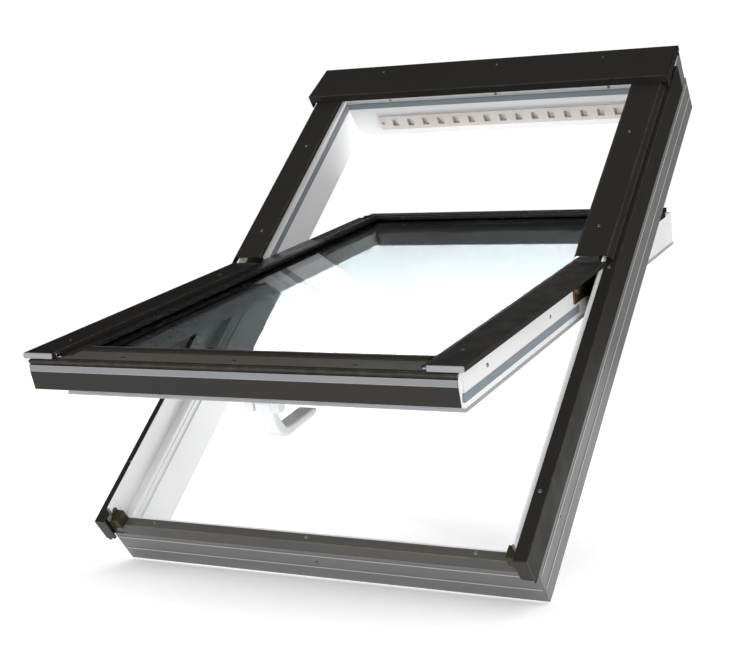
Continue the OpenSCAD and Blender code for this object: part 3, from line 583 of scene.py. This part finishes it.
# Painted shadow: the shutter is brown so that each vent window shows a dark strip beside the white,
# standing for the shadow inside the window.
shutter_painted_shadow = moulded(
    "shutter_painted_shadow", (0.34, 0.26, 0.21), (0.5, 0.4, 0.34),
    (0.35, 0.5), 1100.0, 0.00006)
mount_plastic = moulded(
    "mount_plastic", (0.74, 0.74, 0.74), (0.85, 0.85, 0.85),
    (0.3, 0.45), 900.0, 0.00006)
seal_rubber = moulded(
    "seal_rubber", (0.20, 0.235, 0.26), (0.32, 0.35, 0.37),
    (0.6, 0.85), 1500.0, 0.0002, 0.25)
lip_rubber = moulded(
    "lip_rubber", (0.30, 0.31, 0.33), (0.5, 0.5, 0.52),
    (0.5, 0.7), 1500.0, 0.0002, 0.3)
glazing_rubber = moulded(
    "glazing_rubber", (0.010, 0.010, 0.010), (0.03, 0.03, 0.03),
    (0.55, 0.75), 1500.0, 0.0002, 0.25)
print("moulded skins ready")

# %% [markdown]
# ## Metals
# Screws are zinc plated, the springs are polished, and the hinges are steel with a dull yellow
# chromate skin that is darker in patches. All use the same recipe: a metal colour mixed with a
# tarnish by clouds, and brushing from a noise that is drawn out along X.

# %% Plated metal
def plated(name, colour, tarnish, rough_range, depth=0.00004):
    """Metal colour to tarnish by clouds, with fine brushed lines for relief."""
    material, tree, shader, where = new_finish(name, Metallic=1.0)
    patch = span(tree, clouds(tree, where, 90.0, 5.0), 0.35, 0.7, 0, 1)
    base = between(tree, patch, colour, tarnish)
    rough = span(tree, clouds(tree, where, 240.0, 3.0), 0.3, 0.7, *rough_range)
    lines = clouds(tree, stretched(tree, where, (120.0, 2600.0, 2600.0)), 1.0, 2.0)
    finish_off(tree, shader, base, rough, lines, depth)
    return material


zinc = plated("zinc", (0.50, 0.50, 0.48), (0.27, 0.26, 0.24), (0.25, 0.42))
polished = plated("polished", (0.85, 0.85, 0.86), (0.6, 0.6, 0.62), (0.06, 0.16), 0.00002)
galvanised = plated("galvanised", (0.52, 0.54, 0.56), (0.36, 0.38, 0.40), (0.35, 0.55))
chromate = plated("chromate", (0.20, 0.135, 0.065), (0.07, 0.05, 0.03), (0.3, 0.5))
print("metals ready")

# %% [markdown]
# ## Glass
# Each pane is 4 mm float glass with a heat-reflecting coat, which gives it a grey-green tint.
# Its refractive index does the rest: seen square on, nearly all light goes through, and at a
# low angle almost half is mirrored, once by each pane, which is why a mirrored edge shows
# twice. The spacer between the panes has rows of tiny holes.

# %% Panes and spacer
def pane_glass(name, tint):
    """Clear refracting glass with a very slightly uneven face and tint."""
    material, tree, shader, where = new_finish(name, Transmission_Weight=1.0, IOR=1.52)
    drift = clouds(tree, where, 3.0, 2.0)
    base = between(tree, drift, tint, tuple(0.95 * c for c in tint))
    rough = span(tree, clouds(tree, where, 14.0, 2.0), 0.3, 0.7, 0.0, 0.006)
    finish_off(tree, shader, base, rough, clouds(tree, where, 1.5, 1.0), 0.0001)
    return material


outer_glass = pane_glass("outer_glass", (0.53, 0.575, 0.585))
inner_glass = pane_glass("inner_glass", (0.56, 0.575, 0.58))


HOLE_TURNS = 2094.0  # radians of each wave per metre, one wave every 3 mm


def drilled_metal(name):
    """Black coated metal, darker still in dots where two sine waves are both high. The dots stand for the
    holes, and their darkness is painted shade.
    """
    material, tree, shader, where = new_finish(name, Specular_IOR_Level=0.1)
    scaled = stretched(tree, where, (HOLE_TURNS,) * 3)
    part = put(tree, "ShaderNodeSeparateXYZ", Vector=scaled).outputs
    wave = sums(tree, "MULTIPLY", sums(tree, "SINE", part[0]), sums(tree, "SINE", part[2]))
    dots = span(tree, wave, 0.5, 0.7, 0, 1)
    drift = clouds(tree, where, 40.0, 3.0)
    base = between(tree, drift, (0.010, 0.011, 0.013), (0.018, 0.019, 0.022))
    # Painted shade: each hole is a dark dot, not a cut.
    base = between(tree, dots, base, (0.003, 0.003, 0.003))
    rough = span(tree, drift, 0.3, 0.7, 0.3, 0.5)
    finish_off(tree, shader, base, rough, sums(tree, "SUBTRACT", 1.0, dots), 0.0003)
    return material


spacer_metal = drilled_metal("spacer_metal")


def studio_floor():
    """Almost white, with a very faint drift, and glowing a little like a light table."""
    glow = {"Emission_Color": (1, 1, 1, 1), "Emission_Strength": 0.25}
    material, tree, shader, where = new_finish("studio_floor", Specular_IOR_Level=0.0, **glow)
    drift = clouds(tree, where, 2.0, 2.0)
    base = between(tree, drift, (0.93, 0.93, 0.93), (0.95, 0.95, 0.95))
    finish_off(tree, shader, base, span(tree, drift, 0, 1, 0.85, 0.95), drift, 0.0001)
    return material


floor.data.materials.append(studio_floor())
print("glass and floor ready")

# %% [markdown]
# ## Fixed solids that keep their shape
# The rails, the panes, the hinges, the vent and the hidden steel cores are already right, down to
# their holes. They only need their finishes, so their meshes are left alone.

# %% Finishes for the fixed solids
def dress(finish, *names):
    """Puts one finish on every material slot of the named solids."""
    for name in names:
        data = frame["nodes"][name].data
        if not data.materials:
            data.materials.append(finish)
        for k in range(len(data.materials)):
            data.materials[k] = finish


ends = ("left", "right", "top", "bottom")
dress(frame_pvc, *(f"frame_rail_{e}" for e in ends))
dress(sash_pvc, *(f"sash_rail_{e}" for e in ends))
dress(galvanised, *(f"{k}_steel_{e}" for k in ("frame", "sash") for e in ends))
dress(mount_plastic, "cover_mount_left", "cover_mount_right", "front_end_left", "front_end_right")
dress(shutter_painted_shadow, "vent_shutter")
dress(chromate, *(f"hinge_{k}_{e}" for k in ("shoe", "arm") for e in ("left", "right")))
dress(outer_glass, "outer_pane")
dress(inner_glass, "inner_pane")
dress(spacer_metal, "glazing_spacer")
dress(glazing_rubber, "glazing_gasket")
dress(zinc, "handle_pin")
dress(vent_plastic, "vent_grille")
print("dressed solids")

# %% [markdown]
# ## Claddings of the frame
# A folded metal cover sits on each side rail: a skirt down the outside and a flat ledge on top,
# which ends beside the rail's white fin. The lower rail has the same. Each is one folded outline.
# The side covers run past the lower end, where a moulded cap closes them.

# %% Side and lower claddings
SHEET = 1.2  # thickness of the folded sheet
HEM = 3.2    # how far a skirt's lower edge turns in
SIDES = (("right", 1), ("left", -1))
for label, s in SIDES:
    low, high = reach("side_cladding_right")
    path = [(high[0] - HEM, low[2]), (high[0], low[2]), (high[0], high[2]), (low[0], high[2])]
    grid = run(folded(path, SHEET), "up", low[1], high[1], side=s)
    piece(f"side_cover_{label}", [grid], [cladding_paint], "frame", "dark_metal",
          f"side_cladding_{label}")
    low, high = reach("cladding_end_right")
    shape = [(low[0], 88), (low[0], high[2]), (high[0], high[2]), (high[0], low[2]),
             (low[0] + 4, low[2])]
    grid = run(soften(shape, 1.6), "up", low[1], high[1] + 0.2, side=s, rim=0.9)
    lip = [(low[0] + 2, 92), (low[0] + 2, high[2] - 3), (high[0] - 3, high[2] - 3),
           (high[0] - 3, 89)]
    raised = run(soften(lip, 1.2), "up", low[1] + 0.6, high[1], side=s)
    piece(f"cover_end_{label}", [grid, raised], [end_plastic], "frame", "brown_plastic",
          f"cladding_end_{label}")

low, high = reach("bottom_cladding")
path = [(low[1] + HEM, low[2]), (low[1], low[2]), (low[1], high[2]), (high[1], high[2])]
grid = run(folded(path, -SHEET), "across", low[0], high[0])
piece("lower_cover", [grid], [sill_painted_light], "frame", "brown_metal", "bottom_cladding")

# %% [markdown]
# ## Corner blocks
# A small moulded block closes each lower corner, between the lower cover and the side cover. It
# has a tall thin cheek beside the fin and a block that overhangs the sill, so it is two runs
# across in one mesh.

# %% Corner blocks
BLOCK_UP = 22  # how high the block stands; the cheek goes on to the top
for label, s in SIDES:
    low, high = reach("corner_block_right")
    cheek = [(low[1], low[2]), (low[1], high[2] - 12), (high[1] - 6, high[2]),
             (high[1], high[2] - 3), (high[1], low[2])]
    foot = [(low[1] + 4, low[2]), (low[1] + 4, low[2] + BLOCK_UP), (high[1], low[2] + BLOCK_UP),
            (high[1], low[2])]
    parts = [
        run(soften(cheek, 1.0), "across", high[0] - 1.4, high[0] - 0.05, side=s),
        run(soften(foot, 2.4), "across", low[0], high[0] - 0.3, side=s, rim=1.6),
    ]
    piece(f"corner_{label}", parts, [corner_plastic], "frame", "olive_plastic",
          f"corner_block_{label}")

# %% [markdown]
# ## Upper covers and hood
# Above the swing axis a wider cover lies over each side, folded down at both edges. The hood at
# the top is a long folded box section with moulded plates in its ends.

# %% Upper covers and hood
COVER_N = 150      # level of the covers and strips
HOOD_REAR_N = 156  # level of the hood's top at its upper end; the top is higher at the lower end
for label, s in SIDES:
    low, high = reach("upper_cover_right")
    path = [(low[0], high[2] - 4), (low[0] + 4, high[2]), (high[0] - 8, high[2]),
            (high[0], high[2] - 9), (high[0], low[2])]
    grid = run(folded(path, -SHEET, 2.0), "up", low[1], high[1], side=s)
    piece(f"top_cover_{label}", [grid], [cladding_paint], "frame", "dark_metal",
          f"upper_cover_{label}")
    low, high = reach("hood_end_right")
    shape = [(low[1], low[2]), (low[1], high[2]), (high[1], HOOD_REAR_N), (high[1], 144),
             (low[1] + 26, 146), (low[1] + 14, low[2])]
    grid = run(soften(shape, 1.8), "across", low[0], high[0], side=s, rim=0.8)
    piece(f"hood_plate_{label}", [grid], [hood_plastic], "frame", "black_plastic", f"hood_end_{label}")

low, high = reach("top_hood")
hood_path = [(low[1], COVER_N), (low[1], high[2]), (high[1], HOOD_REAR_N), (high[1], low[2])]
hood_run = run(folded(hood_path, -SHEET, 2.2), "across", low[0], high[0])
piece("hood", [hood_run], [cladding_paint], "frame", "dark_metal", "top_hood")

# %% [markdown]
# ## Beads round the glass
# Each bead covers a glass edge: a flat, then a rounded ridge against the glass. The ridge is a
# circle's arc, so its points come straight from the circle's formula.

# %% Beads
RIDGE_W, RIDGE_UP = 19.0, 2.5  # width, which is also the radius, and height
HALF_RIDGE = RIDGE_W / 2


def ridge_arc(middle, base, count=9):
    """Points on a circle of radius 19 whose top stands 2.5 above the base, over a 19 wide strip."""
    t = np.linspace(-0.5, 0.5, count) * RIDGE_W
    return np.stack([middle + t, base + RIDGE_UP - RIDGE_W + np.sqrt(RIDGE_W**2 - t**2)], 1)


def bead_outline(bead_n, inner):
    """Distance in from the sash's outer face, and level: flat, ridge, then the underside."""
    ridge = ridge_arc(inner - HALF_RIDGE, bead_n)
    foot = [(inner, bead_n - 5), (inner - 3, bead_n - 5), (inner - 3, bead_n - 7), (9, bead_n - 7),
            (9, bead_n - 9), (0, bead_n - 9), (0, bead_n - 11), (-SHEET, bead_n - 11)]
    return np.vstack([[(-SHEET, bead_n), (inner - RIDGE_W - 1.5, bead_n)], ridge, foot])


low, high = reach("bead_right", True)
sash_x = high[0] - SHEET
bead_n = high[2] - RIDGE_UP
shape = bead_outline(bead_n, sash_x - low[0])
for label, s in SIDES:
    outline = shape * [-1, 1] + [sash_x, 0]
    grid = run(soften(outline, 0.5, 2), "up", low[1], high[1], True, s)
    piece(f"side_bead_{label}", [grid], [bead_paint], "sash", "dark_metal", f"bead_{label}")
low_t, high_t = reach("bead_top", True)
outline = shape * [-1, 1] + [high_t[1] - SHEET, 0]
grid = run(soften(outline, 0.5, 2), "across", low_t[0], high_t[0], True)
piece("upper_bead", [grid], [bead_paint], "sash", "dark_metal", "bead_top")

# %% [markdown]
# ## Lower cladding of the sash
# The lowest edge takes the most rain. One folded sheet makes the flat, the nose, an upright
# band and the skirt. Three ridges on it carry on the line of the beads.

# %% Nose and skirt
low, high = reach("front_cladding", True)
nose, top, inner_v = low[1] + 1, bead_n - 0.5, high[1]
BAND_TOP, BAND_FOOT = 9.6, 19.5  # the upright band, measured down from the flat
path = [(inner_v, top), (nose + 10, top), (nose + 6, top - 1.2), (nose + 3, top - 0.8),
        (nose, top - 2), (nose - 0.9, top - 4), (nose, top - 6.2), (nose + 2.5, top - 7.6),
        (nose + 2.5, top - 8.6), (nose - 0.5, top - BAND_TOP), (nose - 0.5, top - BAND_FOOT),
        (nose + 5, low[2])]


def nose_painted_faces(middle, edge):
    """1 on the upright band between the nose and the skirt, 2 on the flat, and 0 elsewhere. The band's
    light grey is painted reflection of the floor, and the flat's lighter brown is painted light.
    """
    low_enough = middle[:, 1] < top - BAND_TOP + 0.4
    band = (middle[:, 0] < nose) & low_enough & (middle[:, 1] > top - BAND_FOOT - 0.3)
    return band + 2 * (middle[:, 1] > top - 0.1)


front = run(folded(path, 1.4, 0.9), "across", low[0], high[0], True, tone=nose_painted_faces)
bar_v = inner_v - 20
bar_foot = [(bar_v + HALF_RIDGE, top - 0.4), (bar_v - HALF_RIDGE, top - 0.4)]
bar = np.vstack([ridge_arc(bar_v, top + 1.5), bar_foot])
bead_edge = reach("bead_right", True)[0][0]
cross_bar = run(soften(bar, 0.6, 2), "across", -bead_edge, bead_edge, True)
rail_foot = [(bead_edge + RIDGE_W, top - 0.4), (bead_edge, top - 0.4)]
rail = np.vstack([ridge_arc(bead_edge + HALF_RIDGE, bead_n), rail_foot])
side_bars = [run(soften(rail, 0.6, 2), "up", nose + 26, inner_v, True, s) for _, s in SIDES]
step = [(inner_v - 8, top - 0.3), (inner_v, top - 0.3), (inner_v, 134), (inner_v - 8, 134)]
under = run(soften(step, 0.5), "across", -sash_x, sash_x, True)
# Painted light: the one brown sheet gets three paints. The skirt keeps its brown, the band gets a light
# grey as painted reflection, and the flat gets a lighter brown as painted light.
piece("nose_cover", [front, cross_bar, *side_bars, under], [skirt_paint, band_painted_reflection, sill_painted_light],
      "sash", "brown_metal", "front_cladding")

# %% [markdown]
# ## Strips beside the glass
# A wide strip covers the gap between sash and frame on each side, and rides with the sash. Its
# lower end has a light moulded cap, and a bright spring clip holds it down.

# %% Strips, caps and clips
LIP = 8.5  # how far a strip's outer edge turns down
for label, s in SIDES:
    low, high = reach("strip_right", True)
    path = [(low[0], low[2]), (low[0], high[2]), (high[0], high[2]), (high[0], high[2] - LIP)]
    grid = run(folded(path, -SHEET, 1.8), "up", low[1], high[1], True, s)
    piece(f"gap_strip_{label}", [grid], [cladding_paint], "sash", "dark_metal", f"strip_{label}")
    low, high = reach("strip_cap_right", True)
    shape = [(low[0], low[2]), (low[0], high[2]), (high[0], high[2]), (high[0], high[2] - LIP),
             (high[0] - 4, low[2])]
    cap = run(soften(shape, 2.6, 5), "up", low[1], low[1] + 3.1, True, s, rim=1.5)
    piece(f"strip_end_{label}", [cap], [cap_plastic], "sash", "cap_plastic", f"strip_cap_{label}")

low, high = reach("strip_clips", True)
x1 = reach("strip_right", True)[0][0]
leaf = [(x1 - 11, top), (x1 - 0.1, top), (x1 - 0.1, high[2]), (x1 - 1.2, high[2]), (x1 - 1.4, top + 4),
        (x1 - 4, top + 1.5), (x1 - 7, top + 3.2), (x1 - 9, top + 3), (x1 - 11, top + 1.5)]
clips = [run(soften(leaf, 0.9), "up", low[1], high[1], True, s, rim=0.4) for _, s in SIDES]
piece("spring_clips", clips, [polished], "sash", "bright_clip", "strip_clips")

# %% [markdown]
# ## Seals
# The frame's seal sits in a groove above the swing axis; the sash's own seals are below it and
# round its room-side edge. Each is a soft lip, so its outline is rounded almost to a bulb.

# %% Seals
def mitred(outline_of, x, v0, v1, swung, low_end=True):
    """Four or three runs that meet at 45 degrees. The outline is drawn from the outer face in."""
    side_shape, wear = outline_of(x, -1)
    start = (v0 + x, -1.0) if low_end else v0
    parts = [run((side_shape, wear), "up", start, (v1 - x, 1.0), swung, s) for s in (1, -1)]
    head, wear = outline_of(v1, -1)
    parts.append(run((head, wear), "across", (v1 - x, -1.0), (x - v1, 1.0), swung))
    if low_end:
        sill, wear = outline_of(v0, 1)
        parts.append(run((sill, wear), "across", (-x - v0, 1.0), (x + v0, -1.0), swung))
    return parts


def bulb(t0, t1, n0, n1, radius):
    """Outline maker: a rounded bar from t0 to t1 in from an edge, between two levels."""
    def outline(edge, inward):
        shape = [(edge + inward * t, n) for t, n in ((t0, n0), (t1, n0), (t1, n1), (t0, n1))]
        return soften(shape, radius, 4)
    return outline


low, high = reach("frame_gasket")
inner = reach("frame_rail_right")[0][0]
lip_shape = bulb(0, high[0] - inner + 0.8, low[2], high[2], 1.6)
frame_lip = mitred(lip_shape, high[0], low[1], high[1], False, False)
piece("frame_seal", frame_lip, [seal_rubber], "frame", "grey_rubber", "frame_gasket")
low, high = reach("sash_lip", True)
room_lip = mitred(bulb(0, 12, low[2], high[2], 2.0), high[0], low[1], high[1], True)
piece("room_lip", room_lip, [lip_rubber], "sash", "grey_rubber", "sash_lip")
low, high = reach("sash_gasket", True)
SEAL_T = 1.2
seal_shape = bulb(0, SEAL_T, low[2], high[2], 0.5)
parts = [run(seal_shape(high[0], -1), "up", low[1], high[1], True, s) for s in (1, -1)]
parts.append(run(seal_shape(low[1], 1), "across", -high[0] + SEAL_T, high[0] - SEAL_T, True))
piece("weather_seal", parts, [seal_rubber], "sash", "grey_rubber", "sash_gasket")

# %% [markdown]
# ## Handle
# The sash is pushed open by a bow-shaped lever on its lower rail. Its side view is one outline,
# rounded generously, and both flanks have a rolled rim. The base is two cheeks and a bridge.

# %% Lever and base
joint = next(j for j in record["behaviour"]["joints"] if j["name"] == "handle_pull")
rel = 1000 * (np.array(joint["pos_m"]) - AXIS)
v, m = rel @ up_dir, rel @ out_dir
pin_v = v * math.cos(OPEN) + m * math.sin(OPEN)
pin_n = -v * math.sin(OPEN) + m * math.cos(OPEN) + AXIS_N
low, high = reach("handle_lever", True)
tip = high[1] - pin_v
bow = [(-8, 4), (-8, 0), (-4, -18), (4, -38), (13, -52), (24, -60), (40, -62), (tip - 8, -57),
       (tip, -52), (tip, -47), (tip - 8, -44), (42, -48), (32, -45), (21, -32),
       (10, -14), (8, 0), (8, 4), (4, 8), (-4, 8)]
bow_radii = [3, 3, 9, 9, 9, 9, 9, 4, 3, 3, 4, 9, 8, 9, 9, 4, 3, 4, 4]
outline = np.array(bow) + [pin_v, pin_n]
lever = run(soften(outline, bow_radii, 6), "across", low[0], high[0], True, rim=3.5)
piece("pull_lever", [lever], [handle_plastic], "lever", "white_plastic", "handle_lever")
low, high = reach("handle_base", True)
cheek = [(low[1], low[2]), (low[1], high[2]), (high[1], high[2]), (high[1], low[2])]
CHEEK_X, BRIDGE_X, BRIDGE_N = 15.7, 17.0, 63.2  # inner face, half length and underside
bridge = [(low[1] + 0.3, BRIDGE_N), (low[1] + 0.3, high[2] - 0.1),
          (high[1] - 0.3, high[2] - 0.1), (high[1] - 0.3, BRIDGE_N)]
cheek_shape = soften(cheek, [5, 1, 1, 5], 6)
parts = [run(cheek_shape, "across", CHEEK_X, high[0], True, s, rim=1.8) for _, s in SIDES]
parts.append(run(soften(bridge, 1.0), "across", -BRIDGE_X, BRIDGE_X, True))
piece("handle_seat", parts, [handle_plastic], "sash", "white_plastic", "handle_base")

# %% [markdown]
# ## Screws
# Every screw has the same low pan head with a cross recess. Its height is a function of the
# radius and the angle: a dome, less a pit wherever the point lies in one of two crossed slots.
# One grid is copied to every place by adding arrays, so each group is one mesh.

# %% Screw heads
SPOKES = 40          # points round a head
SLOT_W, SLOT_L = 0.55, 1.9  # half width and half length of a slot
PIT = 1.4            # depth of the cross


def heads(places, normals, swung, radius=3.3, tall=1.7):
    """Dome tall * (1 - (r/R)^4 * 0.55) down to the rim, less a smooth pit in the cross.
    Each place gets the grid along two directions square to its normal."""
    r = np.concatenate([np.linspace(0.02, 0.96, 13), [1.0, 1.0]])[:, None] * radius
    a = np.linspace(0, 2 * np.pi, SPOKES, endpoint=False)[None]
    x, y = r * np.cos(a), r * np.sin(a)
    thin_x, long_x = (1 + np.exp(k * (np.abs(x) - w)) for k, w in ((14, SLOT_W), (9, SLOT_L)))
    thin_y, long_y = (1 + np.exp(k * (np.abs(y) - w)) for k, w in ((14, SLOT_W), (9, SLOT_L)))
    cross = np.maximum(1 / thin_x / long_y, 1 / thin_y / long_x)
    h = tall * (1 - 0.55 * (r / radius) ** 4) - PIT * cross
    h[-1] = 0.0
    parts = []
    for spot, normal in zip(np.asarray(places, float), np.asarray(normals, float)):
        normal = normal / np.linalg.norm(normal)
        e1 = np.cross(normal, [0.3, 0.5, 0.8])
        e1 /= np.linalg.norm(e1)
        e2 = np.cross(normal, e1)
        p = spot + x[..., None] * e1 + y[..., None] * e2 + h[..., None] * normal
        grid = place(p[..., 0], p[..., 1], p[..., 2], swung)
        ring = 0.001 * radius * np.linspace(0, 2 * np.pi, SPOKES + 1)
        parts.append({"grid": grid, "wear": np.zeros(grid.shape[:2]), "round": ring,
                      "along": np.broadcast_to(0.001 * r, grid.shape[:2]),
                      "cap": 0.001 * np.stack([np.stack([x[k], y[k]], 1) for k in (0, -1)]),
                      "tone": np.zeros(SPOKES, int)})
    return parts


UP = (0, 0, 1)
HOOD_BACK = 28       # hood screws, down the slope from the hood's upper end
COVER_V = (86, 340)  # cover screws, up the slope from the axis
STRIP_V = (-92, -545)
SASH_SIDE_V, SASH_SIDE_N = (-474, -202), 107
HEAD_N = 93          # level of the screws in the head rail's inner face
ledge = reach("side_cladding_right")[1][2]
strip_x = reach("strip_right", True)[0][0]
hood_low, hood_high = reach("top_hood")
fall = (hood_high[2] - HOOD_REAR_N) / (hood_high[1] - hood_low[1])
RAIL_W = 40
inner_face = half_h - RAIL_W
spots, faces_to = [], []
for _, s in SIDES:
    spots += [(s * (half_w - 11), k * (half_h - 110), ledge) for k in (-1, 0, 1)]
    spots += [(s * (strip_x + 25), v, COVER_N) for v in COVER_V]
    faces_to += [UP] * 5
spots += [(k * (half_w - 95), -half_h + 9, reach("bottom_cladding")[1][2]) for k in (-1, 0, 1)]
faces_to += [UP] * 3
spots += [(x, hood_high[1] - HOOD_BACK, HOOD_REAR_N + HOOD_BACK * fall)
          for x in (-half_w + 150, 19, half_w - 145)]
faces_to += [(0, fall, 1)] * 3
spots += [(k * (half_w - 146), inner_face + 1.5, HEAD_N) for k in (-1, 0, 1)]
faces_to += [(0, -1, 0)] * 3
piece("frame_heads", heads(spots, faces_to, False), [zinc], "frame", "screw_steel", "frame_screws")

spots, faces_to = [], []
for _, s in SIDES:
    spots += [(s * (strip_x + 22), v, COVER_N) for v in STRIP_V]
    spots += [(s * sash_x, v, SASH_SIDE_N) for v in SASH_SIDE_V]
    faces_to += [UP, UP, (s, 0, 0), (s, 0, 0)]
spots += [(k * (half_w - 190), nose + 22, top) for k in (-1, 0, 1)]
faces_to += [UP] * 3
piece("sash_heads", heads(spots, faces_to, True), [zinc], "sash", "screw_steel", "sash_screws")
low, high = reach("vent_grille")
spots = [(k * (high[0] - 8), low[1], 0.5 * (low[2] + high[2])) for k in (-1, 1)]
piece("vent_heads", heads(spots, [(0, -1, 0)] * 2, False), [zinc], "frame", "screw_steel", "vent_screws")

# %% [markdown]
# ## The looks must not change the size of the window, so the growth of the box over the model's box is printed.
# The looks must not change the size of the window, so both boxes are written down.

# %% Both boxes
now_low, now_high = (list(corner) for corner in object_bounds())
boxes = zip(cad_low, now_low, cad_high, now_high)
print("grown by, mm:", [round(1000 * max(a - b, d - c), 2) for a, b, c, d in boxes])
